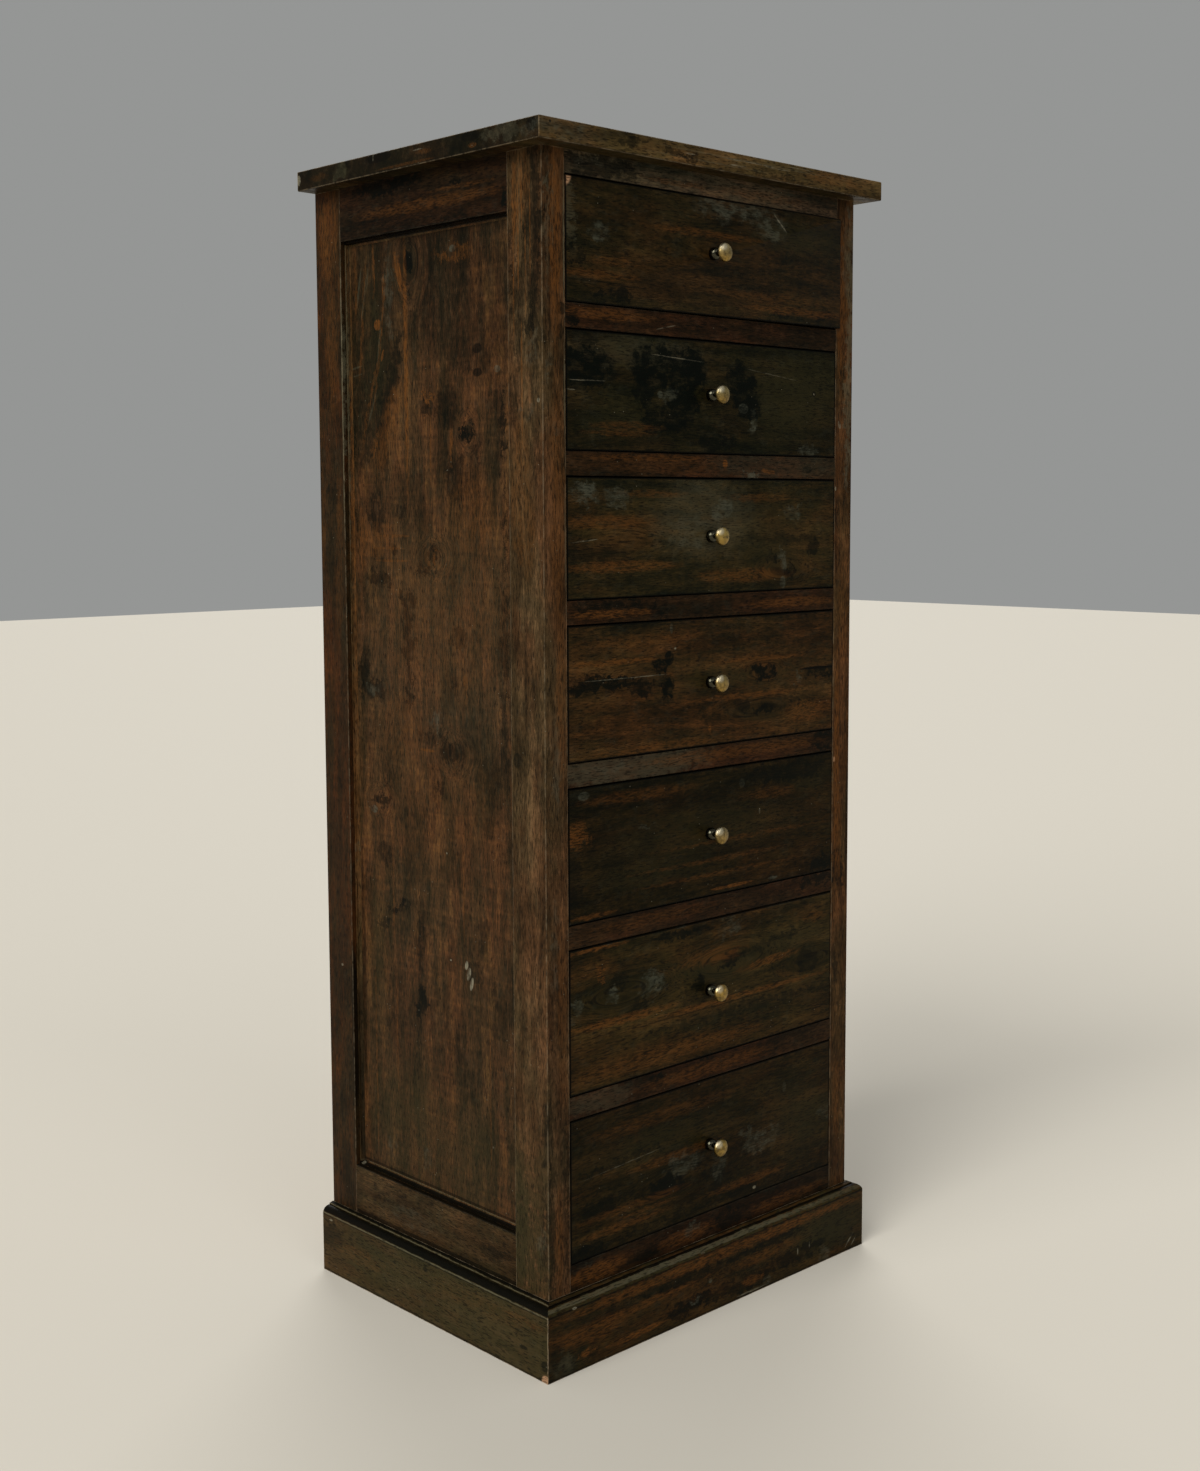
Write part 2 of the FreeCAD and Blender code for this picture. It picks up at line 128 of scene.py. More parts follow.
class Plane(Enum):
    """The face of the chest that a mark lies on, with its own two axes."""

    FRONT = "front"
    SIDE = "side"

    def point(self, along: float, height: float, proud: float) -> Triple:
        """Place a point of this plane, given in millimetres, in the row frame in metres."""
        if self is Plane.FRONT:
            return (along * MM, -(FRONT_FACE + proud) * MM, height * MM)
        return (-(SIDE_FACE + proud) * MM, along * MM, height * MM)

    def reach(self, along: float, height: float, depth: float) -> Triple:
        """Give the half sizes of a mark in metres, out of millimetres."""
        if self is Plane.FRONT:
            return (along * MM, depth * MM, height * MM)
        return (depth * MM, along * MM, height * MM)

    def turn(self, degrees: float) -> Triple:
        """Give the turn of a mark about the normal of this plane."""
        angle = math.radians(degrees)
        return (0, -angle, 0) if self is Plane.FRONT else (angle, 0, 0)


class Trace(Enum):
    """What a mark on the wood is; the dark lines are partly painted shade, and the pale dusty lines and the orange
    streaks partly painted highlight and sheen.
    """

    STAIN = "stain"
    ORANGE_GRAIN_AND_SHEEN = "glow"
    BLOOM = "bloom"
    SCRATCH = "scratch"
    BARE = "bare"
    GRIME_AND_SHADE = "grime"
    OLIVE = "olive"
    DUST_AND_SHEEN = "dust"
    KNOT = "knot"


@dataclass(frozen=True)
class Mark:
    """One mark on the wood, as an oval with a ragged edge.

    The place and the half sizes are in millimetres of the row frame. A knot has no colour of its
    own: it bends the grain round itself.
    """

    plane: Plane
    trace: Trace
    along: float
    height: float
    reach: float
    rise: float
    strength: float = 0.8
    turn: float = 0.0

    @property
    def crisp(self) -> bool:
        """Tell whether the mark keeps its own outline.

        Returns:
            True for small and thin marks, and for the kinds that are sharp by nature.
        """
        small = max(self.reach, self.rise) <= SMALL_MARK
        thin = min(self.reach, self.rise) <= THIN_MARK
        return small or thin or self.trace in (Trace.SCRATCH, Trace.BARE, Trace.GRIME_AND_SHADE)


class Socket:
    """A shader output that takes part in Python maths."""

    def __init__(self, shader: "Shader", output: bpy.types.NodeSocket) -> None:
        """Keep the output and the shader that it belongs to."""
        self.shader = shader
        self.output = output

    def maths(self, operation: str, *others: "Socket | float") -> "Socket":
        """Add a Math node that works on this value first and then on the others."""
        values = dict(enumerate((self, *others)))
        return self.shader.node("ShaderNodeMath", {"operation": operation}, values)

    def __add__(self, other: "Socket | float") -> "Socket":
        """Add two values."""
        return self.maths("ADD", other)

    def __sub__(self, other: "Socket | float") -> "Socket":
        """Take another value from this one."""
        return self.maths("SUBTRACT", other)

    def __rsub__(self, other: float) -> "Socket":
        """Take this value from a number."""
        return self.shader.node("ShaderNodeMath", {"operation": "SUBTRACT"}, {0: other, 1: self})

    def __mul__(self, other: "Socket | float") -> "Socket":
        """Multiply two values."""
        return self.maths("MULTIPLY", other)

    __radd__ = __add__
    __rmul__ = __mul__

    def most(self, other: "Socket | float") -> "Socket":
        """Take the larger of two values."""
        return self.maths("MAXIMUM", other)

    def least(self, other: "Socket | float") -> "Socket":
        """Take the smaller of two values."""
        return self.maths("MINIMUM", other)

    def between(self, start: float, end: float, low: float = 0.0, high: float = 1.0) -> "Socket":
        """Pass this value through a smooth step.

        Args:
            start: The value at which the step starts.
            end: The value at which the step ends.
            low: What comes out before the step.
            high: What comes out after the step.

        Returns:
            The stepped value.
        """
        sockets = {"Value": self, "From Min": start, "From Max": end, "To Min": low, "To Max": high}
        return self.shader.node("ShaderNodeMapRange", {"interpolation_type": "SMOOTHSTEP"}, sockets)


class Shader:
    """A node material that is built up from expressions."""

    def __init__(self, name: str, run: Run = Run.ACROSS) -> None:
        """Start an empty material.

        Args:
            name: The material's name.
            run: The axis that its grain runs along.
        """
        self.run = run
        self.material = bpy.data.materials.new(name)
        self.material.use_nodes = True
        self.tree = self.material.node_tree
        self.tree.nodes.clear()

    @staticmethod
    def pick(sockets: Iterable[bpy.types.NodeSocket], key: int | str) -> bpy.types.NodeSocket:
        """Find a node's socket by its place or by its identifier."""
        if isinstance(key, int):
            return list(sockets)[key]
        return next(socket for socket in sockets if key in (socket.identifier, socket.name))

    def node(
        self,
        kind: str,
        settings: Mapping[str, object] | None = None,
        sockets: Mapping[int | str, object] | None = None,
        output: int | str = 0,
    ) -> Socket:
        """Add one node.

        Args:
            kind: The node's type.
            settings: The node's own settings, which are set first. The stops of a ramp are pairs
                of a position and a colour, and a dot leads to a setting of a setting.
            sockets: Values or links for the node's inputs, by place or identifier.
            output: The output that is handed back.

        Returns:
            The chosen output.
        """
        made = self.tree.nodes.new(kind)
        for name, value in (settings or {}).items():
            if name == "stops":
                elements = made.color_ramp.elements
                while len(elements) < len(value):
                    elements.new(1.0)
                for element, (position, colour) in zip(elements, value):
                    element.position = position
                    element.color = colour
            else:
                holder, _, last = name.rpartition(".")
                setattr(getattr(made, holder) if holder else made, last, value)
        for key, value in (sockets or {}).items():
            entry = self.pick(made.inputs, key)
            if isinstance(value, Socket):
                self.tree.links.new(value.output, entry)
            else:
                entry.default_value = value
        outputs = made.outputs
        return Socket(self, self.pick(outputs, output)) if len(outputs) else Socket(self, None)

    def place(self) -> Socket:
        """Read the place of the shaded point in the row frame, in metres."""
        return self.node("ShaderNodeTexCoord", output="Object")

    def vector(self, operation: str, *values: Socket | Triple, output: int | str = 0) -> Socket:
        """Add a Vector Math node."""
        return self.node("ShaderNodeVectorMath", {"operation": operation}, dict(enumerate(values)), output)

    def scaled(
        self, vector: Socket, scale: Triple | Socket, shift: Triple | Socket = (0, 0, 0)
    ) -> Socket:
        """Stretch a vector and then shift it."""
        return self.vector("MULTIPLY_ADD", vector, scale, shift)

    def shifted(self, vector: Socket, shift: Triple) -> Socket:
        """Shift a vector."""
        return self.scaled(vector, (1, 1, 1), shift)

    def axis(self, vector: Socket, number: int) -> Socket:
        """Take one of a vector's three numbers."""
        return self.node("ShaderNodeSeparateXYZ", {}, {0: vector}, number)

    def noise(
        self, vector: Socket, scale: float, detail: float = 2.0, roughness: float = 0.5,
        output: int | str = 0,
    ) -> Socket:
        """Read a cloudy noise at a place."""
        sockets = {"Vector": vector, "Scale": scale, "Detail": detail, "Roughness": roughness}
        return self.node("ShaderNodeTexNoise", {}, sockets, output)

    def drawn(
        self, vector: Socket, along: float, across: float, detail: float = 2.0, roughness: float = 0.5
    ) -> Socket:
        """Read a noise that is drawn out along the grain."""
        return self.noise(self.scaled(vector, self.run.stretch(along, across)), 1.0, detail, roughness)

    def mixed(self, share: Socket | float, first: object, second: object, blend: str = "MIX") -> Socket:
        """Mix two colours.

        Args:
            share: How much of the second colour shows.
            first: The colour underneath.
            second: The colour on top.
            blend: The way in which they mix.

        Returns:
            The mixed colour.
        """
        settings = {"data_type": "RGBA", "blend_type": blend}
        sockets = {"Factor_Float": share, "A_Color": first, "B_Color": second}
        return self.node("ShaderNodeMix", settings, sockets, "Result_Color")

    def close(self, steady: Mapping[str, object], **varying: Socket) -> Material:
        """Finish the material with one surface shader.

        Args:
            steady: Numbers and colours that are the same all over, by input name.
            varying: Links that change over the surface, by input name with low lines for spaces.

        Returns:
            The finished material.
        """
        sockets = dict(steady) | {name.replace("_", " "): link for name, link in varying.items()}
        surface = self.node("ShaderNodeBsdfPrincipled", {}, sockets)
        self.node("ShaderNodeOutputMaterial", {}, {"Surface": surface})
        return self.material


@dataclass(frozen=True)
class Palette:
    """The tones of one sort of wood, from its darkest streaks to its palest."""

    deep: Colour
    umber: Colour
    russet: Colour
    tan: Colour

    def stops(self, middle: float, spread: float) -> list[tuple[float, Colour]]:
        """Lay the tones out along a ramp.

        Args:
            middle: Where the ramp's middle lies.
            spread: How far its ends lie from the middle.

        Returns:
            Pairs of a position and a colour.
        """
        tones = (self.deep, self.umber, self.russet, self.tan)
        places = (-1.0, -0.33, 0.33, 1.0)
        return [(middle + spread * place, tone) for place, tone in zip(places, tones)]


DRAWER_WOOD = Palette(paint(15, 15, 8), paint(31, 25, 12), paint(49, 36, 18), paint(68, 50, 27))
RAIL_WOOD = Palette(paint(20, 16, 9), paint(35, 23, 12), paint(52, 34, 20), paint(69, 45, 25))
POST_WOOD = Palette(paint(37, 26, 13), paint(56, 40, 22), paint(71, 52, 31), paint(96, 70, 44))
PANEL_WOOD = Palette(paint(29, 24, 13), paint(45, 34, 19), paint(62, 43, 25), paint(80, 57, 31))
STILE_WOOD = Palette(paint(34, 26, 15), paint(43, 32, 19), paint(56, 36, 19), paint(69, 45, 23))
PLINTH_WOOD = Palette(paint(20, 19, 9), paint(36, 27, 13), paint(54, 37, 17), paint(70, 47, 21))
RETURN_WOOD = Palette(paint(42, 37, 20), paint(48, 41, 23), paint(57, 47, 28), paint(66, 53, 33))
PLAIN_WOOD = Palette(paint(92, 66, 42), paint(126, 94, 62), paint(142, 108, 74), paint(168, 134, 96))


@dataclass(frozen=True)
class Look:
    """How a kind of mark shows.

    The edge tells how near the mark's middle it starts to show and shows in full. The film and the
    lines break the mark up: each is a smooth step over that noise, as start, end, low and high.
    """

    tint: Colour
    edge: tuple[float, float] = (0.04, 0.5)
    film: tuple[float, ...] = ()
    lines: tuple[float, ...] = ()


@dataclass(frozen=True)
class Layer:
    """One of the noises that make up the grain, and its share in the grain's tone."""

    along: float
    across: float
    detail: float
    roughness: float
    share: float


CRISP_EDGE = (0.2, 0.4)

# The kinds of marks are drawn in this order, the last on top.
LOOKS: dict[Trace, Look] = {
    Trace.OLIVE: Look(paint(42, 38, 20), (0.0, 0.8)),
    # Pale grey-green: a dusty film and scuffs, and in thin lines painted highlights along arrises and the ridges
    # of mouldings.
    Trace.DUST_AND_SHEEN: Look(paint(84, 80, 62), (0.0, 0.5), (0.32, 0.62, 0.7, 1.0)),
    Trace.STAIN: Look(paint(5, 9, 6), (0.1, 0.36), (0.62, 0.47, 0.45, 1.0)),
    # Dark lines and spots: dirt, and painted shade where parts meet and under overhangs.
    Trace.GRIME_AND_SHADE: Look(paint(7, 7, 5)),
    # Orange streaks: lighter grain, partly painted sheen along the grain.
    Trace.ORANGE_GRAIN_AND_SHEEN: Look(paint(94, 57, 23), (0.04, 0.6), (), (0.36, 0.6, 0.15, 1.0)),
    Trace.BLOOM: Look(paint(76, 78, 66), (0.04, 0.5), (0.4, 0.6, 0.12, 0.74), (0.34, 0.58, 0.45, 1.0)),
    Trace.SCRATCH: Look(paint(116, 110, 92), (0.04, 0.5), (0.4, 0.56, 0.25, 1.0)),
    Trace.BARE: Look(paint(172, 132, 100)),
}
# A near-black for dirt, dark joints, pores and end grain, and for painted shade in gaps and along shaded edges.
GRIME_AND_SHADE = LOOKS[Trace.GRIME_AND_SHADE].tint

BANDS = Layer(1.6, 24.0, 3.0, 0.5, 0.22)
STREAKS = Layer(9.0, 95.0, 4.0, 0.62, 0.27)
FINE_LINES = Layer(85.0, 450.0, 3.0, 0.7, 0.25)
MOTTLE = Layer(14.0, 32.0, 6.0, 0.68, 0.26)

# How far the tone of the grain strays from its middle.
TONE_SPREAD = 0.108

# Colours that are multiplied with the wood's, apart from the rubbed one, which covers it.
NO_STAIN = (1.0, 1.0, 1.0)
WARM = (1.17, 0.97, 0.84, 1.0)
COOL = (0.89, 1.03, 0.95, 1.0)
GLOOM = (0.36, 0.42, 0.40, 1.0)
SHIMMER = (1.9, 1.7, 1.5, 1.0)
RUBBED = paint(136, 120, 96)
OLD_BARE = (0.5, 0.45, 0.4, 1.0)
PALE_BOARD = (1.3, 1.3, 1.32, 1.0)
DARK_BOARD = (0.78, 0.76, 0.72, 1.0)


@dataclass(frozen=True)
class WaxedHardwood:
    """Dark stained hardwood under old wax, with one board's grain, bloom, stains, rubbed edges, and painted shade
    and highlights among its marks.

    The node is the CAD node that gives the board's edges, and a skewed board's depth says nothing
    about them. The lengths are in metres, apart from how proud of the posts the board stands and how
    deep its marks go, which are in millimetres. Each strength is a share of one.
    """

    name: str
    node: str
    run: Run
    palette: Palette
    marks: tuple[Mark, ...] = ()
    stain: Triple = NO_STAIN
    skewed: bool = False
    shift: float = 0.0
    contrast: float = 1.0
    figure: float = 0.028
    crisp_jitter: float = 0.0018
    frayed_jitter: float = 0.055
    drawn_jitter: tuple[float, float] = (0.08, 0.010)
    cloud: float = 0.5
    haze: float = 0.06
    rubbed: float = 0.75
    # How dark the rim along the gap round the board is painted, as painted shade with some dirt.
    gap: float = 0.0
    end_grain: float = 0.0
    ripple: float = 0.15
    play: float = 0.75
    proud: float = 0.0
    depth: float = 40.0
    roughness: float = 0.42
    sheen: float = 0.03

    def material(self) -> Material:
        """Build the finish."""
        return WaxedShader(self).build()


class WaxedShader(Shader):
    """The node material of one waxed board."""

    def __init__(self, board: WaxedHardwood) -> None:
        """Read the places and noises that several layers of the finish share.

        Args:
            board: The values of the board's finish.
        """
        super().__init__(board.name, board.run)
        self.board = board
        self.spot = self.place()
        cut = (board.shift, board.shift * 1.7, board.shift * 2.3)
        self.moved = self.shifted(self.bent(), cut)
        self.still = self.shifted(self.spot, cut)
        self.film = self.drawn(self.still, 50.0, 90.0, 5.0, 0.7)
        self.tone, self.lines = self.grain()

    def nearness(self, mark: Mark, place: Socket, spread: float) -> Socket:
        """Measure how near a point is to a mark's middle.

        Args:
            mark: The mark.
            place: The place of the point.
            spread: How many times as large as the mark the measured oval is.

        Returns:
            One at the middle, falling to nothing at the outline of the measured oval.
        """
        size = mark.plane.reach(mark.reach * spread, mark.rise * spread, self.board.depth)
        settings = {
            "gradient_type": "SPHERICAL",
            "texture_mapping.vector_type": "TEXTURE",
            "texture_mapping.translation": mark.plane.point(mark.along, mark.height, self.board.proud),
            "texture_mapping.rotation": mark.plane.turn(mark.turn),
            "texture_mapping.scale": size,
        }
        return self.node("ShaderNodeTexGradient", settings, {"Vector": place}, "Fac")

    def bent(self) -> Socket:
        """Bend the place of the shaded point, so that the grain runs round the knots.

        Returns:
            The bent place.
        """
        bent = self.spot
        for mark in self.board.marks:
            if mark.trace is Trace.KNOT:
                centre = mark.plane.point(mark.along, mark.height, self.board.proud)
                away = self.vector("SUBTRACT", self.spot, centre)
                pull = self.nearness(mark, self.spot, 2.5).between(0.04, 0.92, 0.0, -mark.strength)
                bent = self.scaled(away, pull, bent)
        return bent

    def grain(self) -> tuple[Socket, Socket]:
        """Draw the grain.

        Returns:
            The tone of the grain, and its fine lines on their own.
        """
        wander = self.noise(self.scaled(self.moved, self.run.stretch(2.6, 7.0)), 1.0, 3.0, output="Color")
        bent = self.scaled(wander, self.run.stretch(0.0, self.board.figure), self.moved)
        layers = (BANDS, STREAKS, FINE_LINES, MOTTLE)
        noises = [self.drawn(bent, one.along, one.across, one.detail, one.roughness) for one in layers]
        shares = [noise * layer.share for noise, layer in zip(noises, layers)]
        return reduce(add, shares), noises[layers.index(FINE_LINES)]

    def wood(self) -> Socket:
        """Colour the stained wood under the wax.

        Returns:
            The colour.
        """
        board = self.board
        ramp = {"stops": board.palette.stops(0.5, TONE_SPREAD / board.contrast)}
        colour = self.node("ShaderNodeValToRGB", ramp, {"Fac": self.tone}, "Color")
        drift = self.drawn(self.moved, 5.0, 17.0, 4.0, 0.65).between(0.4, 0.6)
        colour = self.mixed(board.play, colour, self.mixed(drift, WARM, COOL), "MULTIPLY")
        gloom = self.drawn(self.moved, 11.0, 26.0, 6.0, 0.7).between(0.5, 0.62, 0.0, board.cloud)
        colour = self.mixed(gloom, colour, GLOOM, "MULTIPLY")
        # The board's own tint; for the front top rail it is painted light.
        colour = self.mixed(1.0, colour, (*board.stain, 1.0), "MULTIPLY")
        if board.end_grain:
            facing = self.node("ShaderNodeTexCoord", output="Normal")
            along = self.axis(facing, self.run.value).maths("ABSOLUTE")
            colour = self.mixed(along.between(0.8, 0.95, 0.0, board.end_grain), colour, GRIME_AND_SHADE)
        return colour

    def masks(self) -> dict[Trace, Socket]:
        """Work out where each kind of mark lies.

        Returns:
            One mask for each kind of mark that the board has.
        """
        board = self.board
        ragged = self.shifted(self.noise(self.spot, 62.0, 6.0, 0.72, "Color"), (-0.5, -0.5, -0.5))
        crisp = self.scaled(ragged, (board.crisp_jitter,) * 3, self.spot)
        drawn = self.scaled(ragged, self.run.stretch(*board.drawn_jitter), self.spot)
        frayed = self.scaled(ragged, (board.frayed_jitter,) * 3, self.spot)
        found: dict[Trace, Socket] = {}
        for mark in board.marks:
            if mark.trace is Trace.KNOT:
                continue
            place = crisp if mark.crisp else drawn if mark.trace is Trace.ORANGE_GRAIN_AND_SHEEN else frayed
            edge = CRISP_EDGE if mark.crisp else LOOKS[mark.trace].edge
            mask = self.nearness(mark, place, 1.25).between(*edge) * mark.strength
            found[mark.trace] = found[mark.trace].most(mask) if mark.trace in found else mask
        return found

    def marked(self, colour: Socket) -> tuple[Socket, Socket]:
        """Draw the haze and the marks over the wood.

        Args:
            colour: The colour of the wood.

        Returns:
            The colour, and how dull the wax is.
        """
        dull = self.film.between(0.52, 0.66, 0.0, self.board.haze)
        colour = self.mixed(dull, colour, LOOKS[Trace.BLOOM].tint)
        found = self.masks()
        for trace, look in LOOKS.items():
            if trace not in found:
                continue
            mask = found[trace]
            for noise, step in ((self.film, look.film), (self.lines, look.lines)):
                if step:
                    mask = mask * noise.between(*step)
            if trace is Trace.BLOOM:
                dull = dull.most(mask)
            colour = self.mixed(mask, colour, look.tint)
        return colour, dull

    def pitted(self, colour: Socket) -> Socket:
        """Draw the open pores and the sparse pale flecks.

        Args:
            colour: The colour so far.

        Returns:
            The colour with both.
        """
        pores = self.drawn(self.moved, 110.0, 800.0, 1.0).between(0.54, 0.66, 0.0, 0.65)
        colour = self.mixed(pores, colour, GRIME_AND_SHADE)
        cells = {"Vector": self.spot, "Scale": 120.0}
        nearest = self.node("ShaderNodeTexVoronoi", {"feature": "F1"}, cells, "Distance")
        sparse = self.noise(self.spot, 29.0).between(0.58, 0.62, 0.0, 0.8)
        return self.mixed(nearest.between(0.09, 0.03) * sparse, colour, LOOKS[Trace.SCRATCH].tint)

    def margin(self) -> Socket:
        """Measure how far a point of the board lies from its nearest arris.

        Returns:
            The distance in metres.
        """
        low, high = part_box(self.board.node)
        centre = (low + high) / 2
        half = (high - low) / 2
        offset = self.vector("ABSOLUTE", self.shifted(self.spot, tuple(-centre)))
        first, second, third = (size - self.axis(offset, axis) for axis, size in enumerate(half))
        if self.board.skewed:
            return first.least(third)
        return first.least(second).most(first.most(second).least(third))

    def edged(self, colour: Socket) -> Socket:
        """Rub the arrises pale, and paint shade, with some dirt in it, along the gap round a board that has one.

        Args:
            colour: The colour so far.

        Returns:
            The colour with both.
        """
        inside = self.margin()
        worn = inside.between(1.5 * MM, 0.3 * MM) * self.film.between(0.42, 0.58, 0.2, 1.0)
        colour = self.mixed(worn * self.board.rubbed, colour, RUBBED)
        if self.board.gap:
            # Painted shade, with some dirt, darkens the rim along the gap round the board.
            colour = self.mixed(inside.between(1.9 * MM, 0.9 * MM, 0.0, self.board.gap), colour, GRIME_AND_SHADE)
        return colour

    def build(self) -> Material:
        """Lay the layers over each other.

        Returns:
            The finished material.
        """
        board = self.board
        shimmer = self.drawn(self.still, 150.0, 17.0).between(0.46, 0.66, 0.0, board.ripple)
        colour = self.mixed(shimmer, self.wood(), SHIMMER, "MULTIPLY")
        colour, dull = self.marked(colour)
        colour = self.edged(self.pitted(colour))
        rough = self.film.between(0.3, 0.7, board.roughness - 0.07, board.roughness + 0.1) + dull * 0.2
        relief = {"Strength": 0.5, "Distance": 0.35 * MM, "Height": self.tone * 0.5 + self.lines * 0.5}
        normal = self.node("ShaderNodeBump", {}, relief)
        steady = {"Specular IOR Level": board.sheen}
        return self.close(steady, Base_Color=colour, Roughness=rough, Normal=normal)


@dataclass(frozen=True)
class PlainWood:
    """Unfinished wood inside the carcass, in the drawers and at the back.

    The seams are the places, across the chest in metres, where one board meets the next.
    """

    name: str
    run: Run
    shift: float = 0.0
    seams: tuple[float, ...] = ()

    def material(self) -> Material:
        """Build the finish.

        Returns:
            The finished material.
        """
        shader = Shader(self.name, self.run)
        place = shader.shifted(shader.place(), (self.shift, -self.shift, self.shift))
        streaks = shader.drawn(place, 3.0, 60.0, 4.0, 0.6)
        lines = shader.drawn(place, 9.0, 380.0)
        tone = streaks * 0.65 + lines * 0.35
        ramp = {"stops": PLAIN_WOOD.stops(0.5, 0.2)}
        colour = shader.node("ShaderNodeValToRGB", ramp, {"Fac": tone}, "Color")
        grime = shader.noise(place, 7.0, 4.0, 0.6).between(0.5, 0.72, 0.0, 0.45)
        colour = shader.mixed(grime, colour, OLD_BARE, "MULTIPLY")
        for number, seam in enumerate(self.seams):
            across = shader.axis(shader.place(), 0)
            beyond = across.between(seam - 0.1 * MM, seam + 0.1 * MM, 0.0, 0.6)
            colour = shader.mixed(beyond, colour, DARK_BOARD if number % 2 else PALE_BOARD, "MULTIPLY")
            opened = across.between(seam - 1.2 * MM, seam - 0.4 * MM)
            closed = across.between(seam + 0.4 * MM, seam + 1.2 * MM)
            colour = shader.mixed((opened - closed) * 0.85, colour, GRIME_AND_SHADE)
        rough = tone.between(0.3, 0.7, 0.62, 0.78)
        normal = shader.node("ShaderNodeBump", {}, {"Strength": 0.5, "Distance": 0.3 * MM, "Height": lines})
        return shader.close({"Specular IOR Level": 0.3}, Base_Color=colour, Roughness=rough, Normal=normal)


@dataclass(frozen=True)
class AgedBrass:
    """Turned brass, tarnished in patches and on the foot, with painted light on the head: its top half lighter
    than its bottom half, a painted highlight at its top left, and painted shade on the neck and under the head.

    The crown is the knob's foremost point, in metres.
    """

    name: str
    crown: Triple
    bright: Colour
    # The colour of the painted highlight at the top left of the head.
    rubbed: Colour = paint(222, 212, 184)
    # The painted shade of the head's bottom half.
    shaded_gold: Colour = paint(150, 122, 64)
    tarnish: Colour = paint(74, 64, 42)
    foot: Colour = paint(68, 66, 54)
    # The painted shade on the neck and under the head.
    stem_shade: Colour = paint(24, 22, 15)

    def material(self) -> Material:
        """Build the finish.

        Returns:
            The finished material.
        """
        shader = Shader(self.name)
        place = shader.place()
        patches = shader.noise(place, 260.0, 4.0, 0.6)
        depth, height = shader.axis(place, 1), shader.axis(place, 2)
        across, front, middle = self.crown
        hollow = depth.between(front + 6.0 * MM, front + 6.7 * MM)
        # Painted shade on the neck and under the head.
        shade = hollow - depth.between(front + 13.4 * MM, front + 14.4 * MM)
        # The middle of the painted highlight at the top left of the head.
        glint = (across - 5.5 * MM, front + 3.0 * MM, middle + 6.5 * MM)
        near = shader.vector("DISTANCE", place, glint, output="Value")
        blotches = shader.noise(place, 120.0, 3.0, 0.6)
        dulled = patches.between(0.42, 0.62, 0.0, 0.5) + blotches.between(0.46, 0.62, 0.0, 0.35)
        # Painted light: the head's top half is lighter and its bottom half darker.
        lit_upper = height.between(middle - 9.0 * MM, middle + 7.0 * MM)
        colour = shader.mixed(lit_upper, self.shaded_gold, self.bright)
        colour = shader.mixed(dulled, colour, self.tarnish)
        # A painted highlight at the top left of the head.
        colour = shader.mixed(near.between(7.0 * MM, 2.5 * MM, 0.0, 0.6), colour, self.rubbed)
        colour = shader.mixed(hollow, colour, self.foot)
        colour = shader.mixed(shade, colour, self.stem_shade)
        rough = patches.between(0.35, 0.65, 0.3, 0.46) - hollow * 0.2
        specks = shader.noise(place, 900.0, 2.0)
        relief = {"Strength": 0.25, "Distance": 0.2 * MM, "Height": specks}
        normal = shader.node("ShaderNodeBump", {}, relief)
        return shader.close({"Metallic": 1.0}, Base_Color=colour, Roughness=rough, Normal=normal)


def show(name: str, data: bpy.types.ID) -> bpy.types.Object:
    """Put a new object into the scene.

    Args:
        name: The object's name.
        data: Its mesh, lamp or camera.

    Returns:
        The object.
    """
    made = bpy.data.objects.new(name, data)
    bpy.context.scene.collection.objects.link(made)
    return made


class Workshop:
    """Puts finished meshes into the scene in place of CAD nodes, and finishes on CAD nodes."""

    def __init__(self) -> None:
        """Read which body and which material slot each node has."""
        record = frame["record"]
        bodies = record["behaviour"]["bodies"]
        self.body_of = {node: body for body, nodes in bodies.items() for node in nodes}
        self.slot_of = {part["node"]: part["material_slot"] for part in record["subparts"]}

    def fit(
        self, work: Mesh, name: str, node: str, finish: Material
    ) -> bpy.types.Object:
        """Turn a finished mesh into a piece that stands for a CAD node.

        Args:
            work: The piece's mesh, in metres of the row frame. It is freed.
            name: The piece's name.
            node: The CAD node that it stands for.
            finish: The piece's material.

        Returns:
            The piece.
        """
        mesh = bpy.data.meshes.new(name)
        work.to_mesh(mesh)
        work.free()
        mesh.materials.append(finish)
        piece = show(name, mesh)
        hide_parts(node)
        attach(piece, self.body_of[node])
        LOG.info("%s stands for %s: %d faces", name, node, len(mesh.polygons))
        return piece

    def finish(self, node: str, material: Material) -> None:
        """Give a CAD node a finish and leave its shape alone.

        Args:
            node: The CAD node.
            material: Its finish.
        """
        shown = frame["nodes"][node]
        shown.data.materials.clear()
        shown.data.materials.append(material)
        LOG.info("%s keeps its solid", node)


def rounded(work: Mesh, edges: Sequence[bmesh.types.BMEdge], radius: float, steps: int) -> None:
    """Round some edges of a mesh."""
    bmesh.ops.bevel(
        work, geom=edges, offset=radius, offset_type="OFFSET", affect="EDGES", segments=steps,
        profile=0.5, material=-1, clamp_overlap=True,
    )


